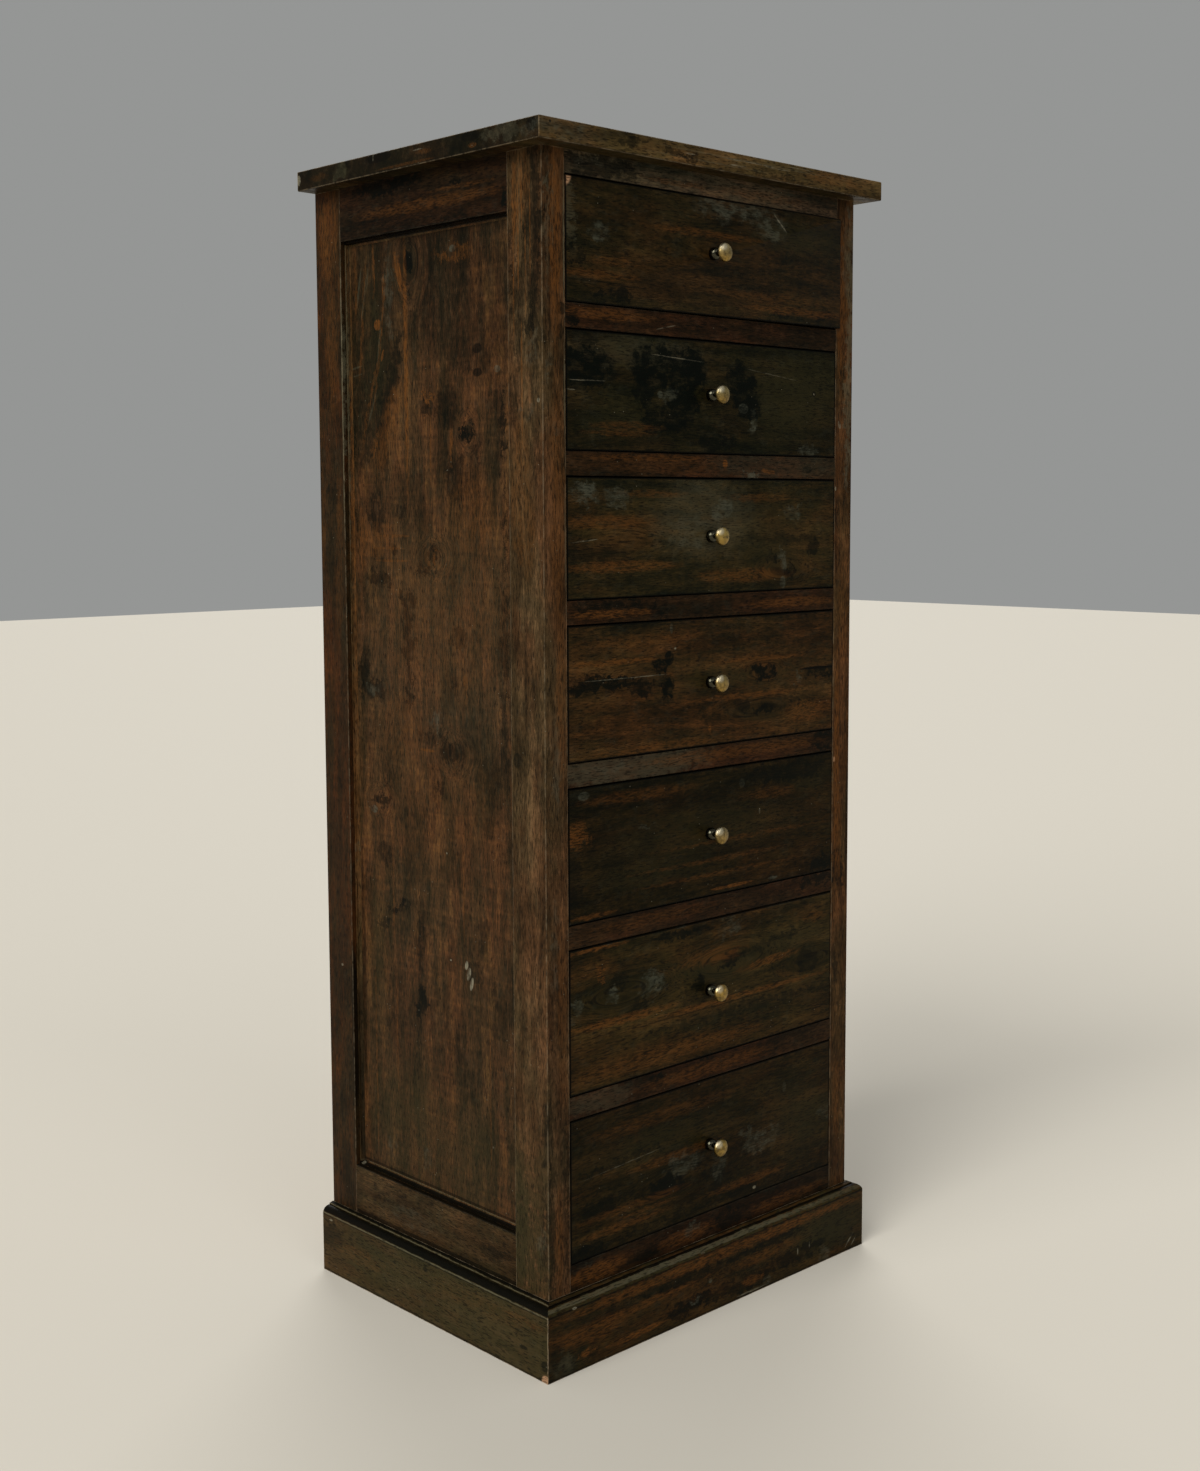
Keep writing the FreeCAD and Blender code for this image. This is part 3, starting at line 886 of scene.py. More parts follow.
def worn_copy(node: str, shown: Sequence[Vector], corner: float, edge: float) -> Mesh:
    """Copy a CAD board and round its arrises.

    Args:
        node: The CAD node.
        shown: The directions in which the board's visible faces look.
        corner: The rounding where two visible faces meet, in metres.
        edge: The rounding on the other edges of a visible face, in metres.

    Returns:
        The new mesh.
    """
    work = bmesh.new()
    work.from_mesh(frame["nodes"][node].data)
    bmesh.ops.remove_doubles(work, verts=work.verts, dist=WELD)
    bmesh.ops.dissolve_limit(work, angle_limit=FLAT, verts=work.verts, edges=work.edges)
    outermost = {tuple(way): max(vert.co.dot(way) for vert in work.verts) for way in shown}

    def looks_out(face: bmesh.types.BMFace) -> bool:
        """Tell whether a face is one of the board's visible faces."""
        middle = face.calc_center_median()
        return any(
            face.normal.dot(way) > FACING and middle.dot(way) > outermost[tuple(way)] - SKEW_ROOM
            for way in shown
        )

    for visible, radius, steps in ((2, corner, 3), (1, edge, 2)):
        if not radius:
            continue
        work.normal_update()
        picked = [
            line for line in work.edges
            if len(line.link_faces) == 2
            and line.calc_face_angle_signed() > SQUARE
            and sum(looks_out(face) for face in line.link_faces) == visible
        ]
        rounded(work, picked, radius, steps)
    return work


@dataclass
class TopBoard:
    """The overhanging top, with rubbed and knocked edges."""

    arris: float = 1.6 * MM

    def build(self) -> Mesh:
        """Shape the board.

        Returns:
            The board's mesh.
        """
        low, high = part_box("top_board")
        work = bmesh.new()
        size = high - low
        to_place = Matrix.Translation((low + high) / 2) @ Matrix.Diagonal((*size, 1))
        bmesh.ops.create_cube(work, size=1.0, matrix=to_place)
        shown = [line for line in work.edges if min(vert.co.y for vert in line.verts) < high.y - size.y / 2]
        rounded(work, shown, self.arris, 3)
        return work


@dataclass
class MouldedLength:
    """A length of moulding with its own section, mitred at either end.

    The section is a list of points (outward, upward) from the corner that the length starts at.
    """

    section: list[Point]
    corner: Vector
    along: Vector
    outward: Vector
    upward: Vector
    ends: tuple[int, int]
    arris: float = 0.5 * MM

    def build(self, work: Mesh) -> None:
        """Add the length to a mesh.

        Args:
            work: The mesh that takes the new solid.
        """
        run = self.along.normalized()
        verts = [
            work.verts.new(self.corner + self.outward * out + self.upward * up - run * (self.ends[0] * out))
            for out, up in self.section
        ]
        start = work.faces.new(verts)
        swept = bmesh.ops.extrude_face_region(work, geom=[start], use_keep_orig=True)
        tail = [item for item in swept["geom"] if isinstance(item, bmesh.types.BMVert)]
        for vert in tail:
            out = (vert.co - self.corner).dot(self.outward)
            vert.co += self.along + run * ((self.ends[0] + self.ends[1]) * out)
        region = {face for vert in (*verts, *tail) for face in vert.link_faces}
        bmesh.ops.recalc_face_normals(work, faces=list(region))
        sharp = [
            line for line in {line for face in region for line in face.edges}
            if line.calc_face_angle(0.0) > SQUARE / 2
        ]
        rounded(work, sharp, self.arris, 2)


def arc(start: Point, end: Point, bulge: float, steps: int) -> list[Point]:
    """Give the points between two ends of a shallow arc.

    Args:
        start: The first end.
        end: The other end.
        bulge: How far the arc's middle stands off its chord, to the left of the way from start to end.
        steps: The number of runs that the arc is made of.

    Returns:
        The points from the first end to the other, both of them included.
    """
    first, last = Vector(start), Vector(end)
    chord = last - first
    left = Vector((-chord.y, chord.x)).normalized()
    shares = [step / steps for step in range(steps + 1)]
    return [tuple(first + chord * share + left * (bulge * 4 * share * (1 - share))) for share in shares]


@dataclass
class Plinth:
    """The moulded plinth: a front board and two returns, mitred in front."""

    face_height: float = 77.0 * MM
    ovolo_width: float = 9.6 * MM
    ovolo_height: float = 7.6 * MM
    bulge: float = 2.1 * MM
    quirk_width: float = 0.7 * MM
    quirk_depth: float = 1.2 * MM
    flat: float = 2.0 * MM
    steps: int = 8

    def section(self, projection: float, height: float) -> list[Point]:
        """Draw the section.

        Args:
            projection: How far the plinth stands out.
            height: The height of the plinth.

        Returns:
            The section's points, outward and upward.
        """
        lip = projection - self.ovolo_width
        crown = self.face_height + self.ovolo_height
        curve = arc((projection, self.face_height), (lip, crown), -self.bulge, self.steps)
        groove = lip - self.quirk_width
        quirk = [(groove, crown - self.quirk_depth), (groove, (crown + height) / 2)]
        return [(0, 0), (projection, 0), *curve, *quirk, (self.flat, height), (0, height)]

    def build(self) -> dict[str, Mesh]:
        """Shape the three boards.

        Returns:
            The meshes, by CAD node.
        """
        front_low, front_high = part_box("plinth_front")
        side_low, side_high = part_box("plinth_right")
        projection = side_high.x - side_low.x
        section = self.section(projection, front_high.z)
        inner = side_low.x
        front_y = front_high.y
        run = side_high.y - front_y
        lengths = {
            "plinth_front": (Vector((-inner, front_y, 0)), RIGHT * (2 * inner), FRONT, (1, 1)),
            "plinth_left": (Vector((-inner, front_y, 0)), BACK * run, LEFT, (1, 0)),
            "plinth_right": (Vector((inner, front_y, 0)), BACK * run, RIGHT, (1, 0)),
        }
        meshes = {}
        for node, (corner, along, outward, ends) in lengths.items():
            meshes[node] = bmesh.new()
            MouldedLength(section, corner, along, outward, UP, ends).build(meshes[node])
        return meshes


@dataclass
class PanelMoulding:
    """The mitred moulding planted round a side panel."""

    width: float = 6.0 * MM
    drop: float = 6.5 * MM
    recess: float = 11.0 * MM
    fillet: float = 2.0 * MM
    hollow: float = 1.3 * MM
    steps: int = 6

    def build(self, node: str, outward: Vector) -> Mesh:
        """Shape the four lengths of one side.

        Args:
            node: The CAD node, which gives the frame's opening.
            outward: The way from the panel to the outside of the chest.

        Returns:
            The mesh of all four lengths.
        """
        low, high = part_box(node)
        face_x = outward.x * (max(abs(low.x), abs(high.x)) + self.drop)
        deep = high.y - low.y
        tall = high.z - low.z
        hollow = arc((self.fillet, -self.drop), (self.width, -self.recess), -self.hollow, self.steps)
        section = [(0, -self.recess), (0, -self.drop), *hollow]
        sides = (
            (Vector((face_x, low.y, low.z)), BACK * deep, UP),
            (Vector((face_x, high.y, high.z)), FRONT * deep, -UP),
            (Vector((face_x, high.y, low.z)), UP * tall, FRONT),
            (Vector((face_x, low.y, high.z)), -UP * tall, BACK),
        )
        work = bmesh.new()
        for corner, along, across in sides:
            MouldedLength(section, corner, along, across, outward, (-1, -1), 0.25 * MM).build(work)
        return work


@dataclass
class Knob:
    """A turned brass knob and its screw, at the place of a CAD knob."""

    foot: float = 8.0 * MM
    neck: float = 4.0 * MM
    head: float = 11.0 * MM
    crown: float = 20.6 * MM
    reach: float = 25.0 * MM
    spare: float = 0.25 * MM
    front_thickness: float = 20.0 * MM
    crease: float = math.radians(38)
    steps: int = 56

    def profile(self) -> list[Point]:
        """Draw the knob's outline.

        Returns:
            Pairs of a radius and a distance out of the drawer front, in metres.
        """
        neck, head = self.neck, self.head
        ball, middle = self.foot * 0.96, 2.6 * MM
        angles = [math.radians(step * 8 - 18) for step in range(11)]
        rounds = [(ball * math.cos(angle), middle + ball * math.sin(angle)) for angle in angles]
        waist = arc((neck * 0.85, 10.4 * MM), (neck * 0.85, 15.8 * MM), 0.3 * MM, 4)
        flare = arc((neck * 1.05, 16.6 * MM), (head * 0.96, 18.5 * MM), 0.4 * MM, 6)
        cap, dome = head * 0.975, self.reach - self.spare - self.crown
        rim = [(head, 19.0 * MM), (head, 20.0 * MM), (cap, self.crown)]
        angles = [step / 9 * math.pi / 2 for step in range(1, 10)]
        top = [(cap * math.cos(angle), self.crown + dome * math.sin(angle) ** 0.9) for angle in angles]
        return [(0, 0), (ball * 0.9, 0), *rounds, *waist, *flare, *rim, *top]

    def screw(self) -> list[Point]:
        """Draw the outline of the screw behind the drawer front.

        Returns:
            Pairs of a radius and a distance out of the drawer front, in metres.
        """
        back = -self.front_thickness
        head = [(0, back - 2.5 * MM), (2.4 * MM, back - 2.4 * MM), (3.7 * MM, back - 1.5 * MM)]
        return [*head, (4.0 * MM, back), (2.0 * MM, back), (2.0 * MM, 0), (0, 0)]

    def build(self, seat: Vector, way: Vector) -> Mesh:
        """Turn the knob and its screw.

        Args:
            seat: The middle of the knob's foot.
            way: The direction out of the drawer front.

        Returns:
            The mesh of both.
        """
        work = bmesh.new()
        aside = way.cross(UP).normalized()
        for outline in (self.profile(), self.screw()):
            verts = [work.verts.new(seat + way * out + aside * radius) for radius, out in outline]
            lines = [work.edges.new(pair) for pair in zip(verts, verts[1:])]
            bmesh.ops.spin(
                work, geom=[*verts, *lines], cent=seat, axis=way, angle=math.tau,
                steps=self.steps, use_merge=True, use_duplicate=False,
            )
        bmesh.ops.remove_doubles(work, verts=work.verts, dist=WELD)
        bmesh.ops.recalc_face_normals(work, faces=work.faces)
        for face in work.faces:
            face.smooth = True
        for line in work.edges:
            line.smooth = line.calc_face_angle(0.0) < self.crease
        return work


def on(plane: Plane, **rows: Sequence[tuple[float, ...]]) -> tuple[Mark, ...]:
    """Write the marks on one plane out of short rows, which are grouped by the kind of mark."""
    return tuple(Mark(plane, Trace(kind), *row) for kind, group in rows.items() for row in group)


# The marks that the photograph shows, by board. Each row holds how far along the face and how high
# the mark lies, its two half sizes, its strength and its turn, in millimetres and degrees.
MARKS: dict[str, tuple[Mark, ...]] = {
    "drawer_1_front": on(
        Plane.FRONT,
        knot=[(40, 1296, 60, 12, 0.6)],
        olive=[(150, 1320, 90, 26, 0.5), (-60, 1332, 70, 12, 0.3)],
        # A painted sheen at the top left of the front.
        dust=[(-228, 1318, 9, 44, 0.3)],
        stain=[
            (-217, 1264, 15, 9), (-182, 1223, 16, 6), (-146, 1224, 16, 8), (195, 1227, 15, 8),
            (120, 1221, 18, 4), (-180, 1247, 60, 1.4, 0.7), (-188, 1238, 52, 1.2, 0.6),
            (-140, 1236, 34, 1.4, 0.5), (160, 1290, 70, 8, 0.4),
        ],
        glow=[
            (-186, 1246, 70, 6, 0.35), (150, 1228, 100, 6, 0.5), (-10, 1307, 100, 5, 0.4),
            (-160, 1262, 44, 6, 0.3), (120, 1240, 110, 8, 0.25),
        ],
        bloom=[(30, 1340, 66, 15, 0.75), (100, 1326, 34, 20, 0.65), (-184, 1291, 18, 13, 0.7)],
        scratch=[(117, 1332, 16, 1.2, 0.7, -40)],
        bare=[(-236, 1351, 15, 17, 0.95)],
    ),
    "drawer_2_front": on(
        Plane.FRONT,
        olive=[(150, 1125, 110, 60, 0.6), (-150, 1085, 80, 20, 0.35)],
        dust=[(-120, 1165, 120, 18, 0.14)],
        stain=[
            (-206, 1143, 50, 24, 0.95), (-100, 1146, 32, 24, 0.95), (-62, 1160, 60, 13, 0.95),
            (-38, 1143, 36, 22, 0.95), (-65, 1092, 30, 16, 0.9), (-100, 1086, 13, 16, 0.9),
            (55, 1140, 30, 22, 0.95), (66, 1112, 26, 20, 0.95), (-48, 1112, 28, 26, 0.95),
            (-112, 1118, 16, 22), (12, 1064, 40, 10), (-210, 1175, 30, 8, 0.6),
        ],
        grime=[(190, 1130, 4, 4, 0.7)],
        glow=[(-140, 1080, 60, 6, 0.3), (-150, 1072, 60, 4, 0.35)],
        bloom=[
            (-85, 1118, 5, 5, 0.7), (75, 1090, 7, 13, 0.9), (58, 1107, 10, 7), (-70, 1120, 14, 10, 0.4),
            (176, 1060, 20, 6, 0.5),
        ],
        scratch=[
            (-55, 1161, 48, 0.7, 0.5, -3), (-200, 1129, 32, 0.7, 0.5, 1), (110, 1150, 52, 0.6, 0.25, -6),
            (190, 1130, 1.6, 1.6, 0.9), (-225, 1118, 8, 1, 0.5),
        ],
    ),
    "drawer_3_front": on(
        Plane.FRONT,
        knot=[(-150, 950, 50, 12, 0.5), (130, 912, 30, 12, 1.2)],
        olive=[(120, 945, 110, 50, 0.45), (-110, 1000, 80, 12, 0.4)],
        dust=[(-10, 975, 90, 50, 0.24)],
        stain=[
            (145, 908, 12, 10, 0.9), (113, 926, 16, 6), (190, 941, 14, 11, 0.7), (-190, 940, 50, 12, 0.45),
            (120, 950, 80, 7, 0.4), (-225, 930, 12, 30, 0.5),
        ],
        glow=[
            (-170, 972, 80, 9, 0.5), (-150, 921, 100, 7, 0.55), (60, 906, 90, 9, 0.45),
            (-100, 1004, 60, 5, 0.35), (90, 1000, 70, 6, 0.25),
        ],
        bloom=[
            (-206, 1004, 24, 14, 0.85), (-155, 998, 24, 13, 0.6), (22, 985, 18, 15, 0.65),
            (150, 982, 17, 10, 0.75), (-20, 958, 60, 20, 0.3), (132, 921, 7, 14, 0.75),
            (132, 895, 6, 9, 0.7),
        ],
        scratch=[(-205, 951, 24, 0.8, 0.5, 5)],
    ),
    "drawer_4_front": on(
        Plane.FRONT,
        knot=[(100, 786, 24, 9, 1.2), (90, 740, 50, 10, 1.1)],
        olive=[(10, 784, 110, 16, 0.6), (170, 780, 60, 18, 0.4)],
        stain=[
            (-175, 794, 62, 4, 0.95), (-160, 785, 72, 6, 0.9), (-115, 777, 16, 12, 0.85),
            (-85, 801, 14, 9, 0.95), (-70, 812, 9, 10, 0.95), (-73, 776, 10, 18, 0.95),
            (100, 786, 22, 12, 0.95), (95, 737, 24, 5, 0.85), (55, 745, 18, 9, 0.6),
            (130, 745, 40, 12, 0.4), (205, 778, 36, 7), (-200, 792, 34, 7, 0.9),
        ],
        grime=[(202, 784, 40, 2, 0.95)],
        glow=[
            (-165, 812, 90, 4, 0.75), (90, 802, 90, 3, 0.5), (60, 758, 110, 4, 0.55), (0, 722, 3, 5, 0.9),
            (180, 730, 50, 16, 0.5), (-120, 835, 110, 8, 0.25), (-90, 708, 120, 6, 0.4),
        ],
        bloom=[(162, 772, 4, 12, 0.7), (-66, 847, 3, 7, 0.6)],
        scratch=[(-140, 793, 74, 0.7, 0.5), (-60, 823, 2, 1.6)],
    ),
    "drawer_5_front": on(
        Plane.FRONT,
        olive=[(0, 600, 220, 36, 0.4), (-100, 560, 120, 20, 0.4), (180, 640, 60, 24, 0.3)],
        stain=[
            (140, 655, 90, 12, 0.7), (212, 528, 30, 10, 0.85), (-225, 562, 14, 30, 0.6),
            (-150, 600, 60, 30, 0.3),
        ],
        glow=[
            (-219, 618, 18, 17, 0.75), (40, 524, 44, 2.4), (0, 561, 140, 3, 0.3), (20, 543, 150, 3, 0.3),
            (110, 632, 60, 8, 0.25), (60, 583, 160, 3, 0.3), (-120, 655, 100, 8, 0.3),
            (-190, 523, 40, 3, 0.5),
        ],
        bloom=[
            (-208, 663, 10, 6, 0.6), (58, 650, 6, 7, 0.5), (-110, 615, 20, 3, 0.4),
            (116, 523, 10, 2.4, 0.7),
        ],
        scratch=[(91, 611, 1.6, 4), (-232, 519, 3, 2.6, 0.9)],
    ),
    "drawer_6_front": on(
        Plane.FRONT,
        knot=[(40, 432, 50, 14, 1.5), (-150, 425, 46, 14, 1.3), (190, 405, 40, 12, 1.2)],
        olive=[(0, 425, 110, 26, 0.5), (150, 440, 80, 24, 0.5), (60, 366, 190, 14, 0.5)],
        stain=[
            (42, 432, 26, 11, 0.85), (-16, 408, 12, 11), (-52, 478, 56, 6), (185, 405, 26, 14, 0.6),
            (-155, 440, 16, 8, 0.6), (-120, 403, 16, 8, 0.6), (110, 440, 70, 5, 0.5, 8),
            (60, 365, 180, 6, 0.5), (-20, 396, 26, 16, 0.5),
        ],
        grime=[(20, 378, 150, 0.8, 0.6)],
        glow=[
            (-150, 393, 100, 6, 0.75), (60, 383, 180, 4, 0.65), (110, 418, 60, 6, 0.6, 4),
            (10, 441, 60, 13, 0.5), (-190, 484, 50, 3), (-60, 337, 170, 12, 0.4),
            (-188, 455, 4, 18, 0.7, 20), (200, 460, 30, 8, 0.3),
        ],
        bloom=[
            (-161, 423, 13, 10, 0.95), (-101, 426, 22, 16, 0.7), (36, 472, 26, 12, 0.5), (-170, 487, 10, 2),
            (-50, 487, 12, 2), (150, 487, 60, 1.6, 0.5), (-222, 415, 9, 14, 0.5),
        ],
    ),
    "drawer_7_front": on(
        Plane.FRONT,
        knot=[(-72, 172, 40, 12, 0.9)],
        olive=[(170, 200, 70, 60, 0.5), (-100, 232, 150, 24, 0.4)],
        stain=[
            (-72, 172, 30, 13, 0.9), (-192, 176, 28, 14, 0.7), (-205, 128, 36, 9, 0.85),
            (-150, 222, 84, 4, 0.6, 3), (60, 165, 60, 14, 0.5), (0, 128, 200, 6, 0.5),
            (15, 160, 24, 20, 0.6),
        ],
        glow=[
            (-130, 164, 100, 6, 0.35), (-150, 144, 80, 6, 0.45), (-100, 153, 60, 3, 0.35),
            (70, 141, 80, 6, 0.4), (-60, 206, 90, 7, 0.35), (-80, 262, 140, 10, 0.22),
        ],
        bloom=[
            (-45, 191, 34, 13, 0.55), (20, 175, 16, 20, 0.45), (100, 186, 38, 14, 0.65),
            (66, 203, 16, 6, 0.5), (220, 195, 16, 11, 0.4), (141, 246, 4, 8, 0.5),
        ],
        scratch=[(-150, 218, 82, 0.7, 0.3, 3), (84, 128, 3.4, 2.2, 0.9)],
    ),
    "drawer_dividers": on(
        Plane.FRONT,
        dust=[(-140, 690, 140, 20, 0.35), (120, 1040, 130, 22, 0.14), (-185, 305, 60, 14, 0.2)],
        stain=[
            (60, 303, 200, 20, 0.12), (-226, 1200, 18, 12, 0.9), (60, 1200, 90, 9, 0.4),
            (0, 1198, 300, 26, 0.3), (178, 1035, 10, 5, 0.7), (-170, 876, 60, 5, 0.7), (-90, 868, 12, 7),
            (215, 690, 26, 16, 0.9), (60, 503, 300, 20, 0.22), (205, 510, 36, 9), (130, 500, 40, 6, 0.5),
            (-90, 307, 14, 8, 0.9), (-12, 312, 14, 5),
        ],
        glow=[
            (-170, 1203, 80, 7, 0.5), (26, 1040, 5, 6, 1.0), (100, 1032, 12, 3, 0.6),
            (-100, 1045, 120, 5, 0.4), (-160, 868, 70, 6, 0.7), (150, 870, 90, 7, 0.5),
            (40, 690, 190, 9, 0.4), (-100, 505, 120, 8, 0.25), (-90, 1037, 120, 10, 0.15),
            (0, 303, 130, 10, 0.4),
        ],
        bloom=[(75, 1027, 17, 2.6, 0.9), (-150, 690, 60, 6, 0.3)],
        scratch=[(-75, 1195, 18, 0.8, 0.4, 12)],
    ),
    "front_top_rail": on(
        Plane.FRONT,
        dust=[(60, 1369, 130, 7, 0.2)],
        stain=[
            (-172, 1358, 20, 5, 0.5), (190, 1365, 60, 14, 0.4), (-190, 1362, 80, 16),
            (-60, 1366, 90, 10, 0.35),
        ],
        glow=[(-60, 1360, 60, 4, 0.35), (90, 1362, 90, 7, 0.3)],
        bloom=[(-214, 1369, 10, 5, 0.5), (-186, 1369, 8, 5, 0.5), (-200, 1366, 30, 6, 0.25)],
    ),
    "front_bottom_rail": on(
        Plane.FRONT,
        stain=[(40, 100, 46, 12, 0.7), (-110, 97, 30, 8, 0.4)],
        grime=[(-176, 99, 8, 2, 0.6), (-152, 100, 6, 2, 0.6)],
        glow=[(-190, 100, 50, 12, 0.7), (-40, 100, 50, 10, 0.5), (150, 98, 90, 8, 0.35)],
        bloom=[(-30, 105, 20, 6, 0.5), (-215, 113, 20, 4, 0.4)],
    ),
    "front_post_left": on(
        Plane.SIDE,
        olive=[(-160, 150, 60, 160, 0.85), (-160, 340, 40, 120, 0.25)],
        stain=[
            (-184, 1290, 12, 120, 0.7), (-158, 1195, 10, 60, 0.5), (-185, 1090, 8, 90, 0.4),
            (-183, 1250, 8, 70, 0.55), (-188, 1170, 7, 40, 0.5), (-147, 1250, 4, 60, 0.6),
            (-170, 1300, 4, 60, 0.6), (-158, 1010, 3, 90, 0.4), (-176, 930, 6, 120, 0.25),
            (-166, 850, 2.4, 90, 0.4), (-180, 420, 3, 90, 0.3), (-176, 1190, 7, 14),
            (-172, 1240, 10, 30, 0.5), (-150, 1110, 8, 30, 0.5), (-186, 700, 10, 60, 0.3),
            (-150, 705, 8, 10, 0.6),
        ],
        glow=[
            (-152, 1320, 5, 50), (-164, 1330, 2, 44), (-158, 1285, 1.4, 70), (-178, 1290, 1.2, 70, 0.6),
            (-170, 1250, 1.2, 60, 0.6), (-150, 1230, 1.4, 70, 0.6), (-160, 1350, 8, 30, 0.5),
            (-165, 1345, 14, 40, 0.4), (-163, 1120, 2, 80, 0.6), (-160, 1000, 20, 90, 0.4),
            (-172, 960, 14, 60, 0.35),
        ],
        bloom=[(-172, 1095, 12, 10, 0.5), (-180, 1160, 8, 20, 0.4), (-186, 150, 8, 20, 0.4)],
        scratch=[(-190, 1105, 3, 3, 0.7)],
    ) + on(
        Plane.FRONT,
        # The three thin lines at the inner edge are painted highlights; the others are pale scuffs.
        dust=[
            (-257, 1290, 4, 80, 0.25), (-250, 1310, 1.4, 50, 0.4), (-234.2, 1278, 0.9, 80),
            (-234.2, 1116, 0.8, 66, 0.6), (-234.2, 954, 0.8, 68, 0.5),
        ],
        stain=[
            (-255, 1240, 2, 90, 0.5), (-238, 190, 4, 130, 0.6), (-263, 200, 7, 160, 0.5),
            (-250, 230, 16, 190, 0.3), (-258, 420, 4, 120, 0.3), (-243, 1060, 4, 60, 0.5),
            (-238, 1205, 8, 8), (-240, 1180, 6, 10, 0.6), (-248, 300, 10, 50, 0.4),
        ],
        glow=[
            (-247, 1280, 10, 130), (-246, 1000, 12, 160, 0.5), (-242, 780, 8, 110, 0.5),
            (-243, 420, 8, 120, 0.35), (-250, 150, 7, 70, 0.5),
        ],
        bloom=[
            (-255, 1140, 5, 20, 0.5), (-246, 1075, 8, 10, 0.4), (-257, 1330, 3, 40, 0.3),
            (-250, 700, 8, 60, 0.35), (-254, 500, 6, 60, 0.35),
        ],
    ),
    "front_post_right": on(
        Plane.FRONT,
        dust=[(259, 1190, 7, 180, 0.5)],
        stain=[
            (246, 1150, 4, 50, 0.5), (237, 980, 3, 20), (244, 520, 12, 30, 0.85), (240, 388, 6, 30, 0.6),
        ],
        grime=[(262, 560, 2.6, 110, 0.6)],
        glow=[
            (242, 1250, 8, 120, 0.75), (245, 1250, 14, 60, 0.4), (241, 650, 6, 170, 0.85),
            (247, 560, 5, 70, 0.6), (250, 850, 12, 70, 0.35), (246, 200, 8, 60, 0.4),
        ],
        bloom=[(252, 1360, 5, 12, 0.6), (256, 1040, 6, 40, 0.5), (250, 1300, 6, 60, 0.35)],
        scratch=[(241, 1093, 3, 6, 0.5, 20), (234, 1012, 1.6, 3)],
        bare=[(236, 662, 2, 4, 0.5)],
    ),
    "rear_post_left": on(
        Plane.SIDE,
        # A painted highlight along the stile's inner arris.
        dust=[(174.8, 1130, 1.1, 190, 0.9)],
        stain=[(205, 1120, 18, 12, 0.5), (200, 1010, 10, 20, 0.5)],
        grime=[(174, 330, 3, 120, 0.7)],
        glow=[(200, 1320, 24, 60, 0.45), (195, 1180, 14, 90, 0.35)],
        scratch=[(196, 408, 2.2, 2.2, 0.7)],
    ),
    "side_top_rail_left": on(
        Plane.SIDE,
        stain=[
            (80, 1368, 70, 10, 0.85), (-50, 1358, 14, 5), (-138, 1330, 5, 14, 0.9), (-50, 1318, 30, 5, 0.6),
        ],
        # The long dark line is painted shadow along the rail's lower edge.
        grime=[(17, 1312, 170, 2.4)],
        glow=[(0, 1338, 150, 8, 0.35), (-60, 1350, 60, 3, 0.3)],
    ),
    "side_bottom_rail_left": on(
        Plane.SIDE,
        stain=[(-100, 115, 20, 10, 0.5), (100, 128, 40, 8, 0.3)],
        # The low line is painted shadow where the rail meets the plinth; the other darkens the rail's top edge.
        grime=[(17, 149.5, 800, 1.2, 0.9), (17, 90, 600, 3, 0.7)],
        bloom=[(60, 110, 60, 14, 0.2)],
    ),
    "panel_moulding_left": on(
        Plane.SIDE,
        # The two thin pale lines are painted highlights along the moulding's ridges.
        dust=[(17, 155.2, 800, 0.5, 0.75), (172.6, 1120, 1.2, 260, 0.5)],
        # The line at the top is painted shadow under the top rail; the others darken the moulding's bottom and
        # rear edges.
        grime=[
            (166, 270, 12, 170, 0.75), (17, 151.6, 800, 2.3, 0.95), (17, 1312, 800, 4, 0.9),
            (170.6, 1120, 0.8, 300, 0.5),
        ],
        glow=[(168, 960, 4, 330, 0.6), (168, 620, 12, 90, 0.3)],
        bloom=[(172, 560, 5, 12, 0.6)],
        scratch=[(168, 152, 4, 2, 0.5)],
    ),
    "side_panel_left": on(
        Plane.SIDE,
        knot=[
            (52, 1278, 22, 30, 1.3), (12, 930, 22, 14, 0.9), (-18, 700, 26, 16), (122, 628, 20, 12),
            (-54, 1075, 14, 14, 1.0),
        ],
        olive=[
            (124, 1180, 56, 150, 0.6), (60, 240, 130, 90, 0.5), (-60, 220, 90, 70, 0.45),
            (130, 450, 30, 150, 0.4), (10, 200, 170, 90, 0.5),
        ],
        dust=[
            (152, 1255, 2.4, 30, 0.6, 12), (142, 1242, 2, 34, 0.5, 12), (134, 1268, 1.6, 24, 0.4, 8),
            (160, 1160, 15, 1.6, 0.5, -8), (157, 1151, 12, 1.2, 0.4, -8), (128, 1110, 2, 26, 0.4, 24),
            (112, 1190, 1.6, 40, 0.4, 10), (0, 820, 190, 150, 0.08),
        ],
        stain=[
            (130, 1190, 60, 140, 0.5), (150, 1100, 26, 80, 0.6), (92, 1130, 14, 90, 0.75, 16),
            (52, 1278, 12, 16, 0.95), (176, 1066, 12, 17, 0.95), (-72, 1156, 5, 10, 0.3),
            (-54, 1075, 15, 9, 0.95), (-18, 1108, 18, 30, 0.6), (18, 1106, 18, 12, 0.7),
            (-36, 1020, 24, 28, 0.65), (-70, 1030, 10, 46, 0.5), (-112, 1090, 10, 70, 0.45),
            (12, 935, 13, 12, 0.7), (34, 917, 16, 7, 0.7), (120, 903, 26, 12, 0.75),
            (124, 985, 18, 24, 0.65), (76, 985, 10, 13, 0.7), (168, 965, 10, 18, 0.7), (126, 935, 6, 8),
            (88, 938, 6, 9), (62, 880, 16, 12, 0.7), (62, 832, 12, 56, 0.65), (62, 775, 8, 36, 0.75),
            (154, 785, 13, 34, 0.75), (132, 765, 26, 13, 0.7), (-30, 835, 20, 14, 0.6),
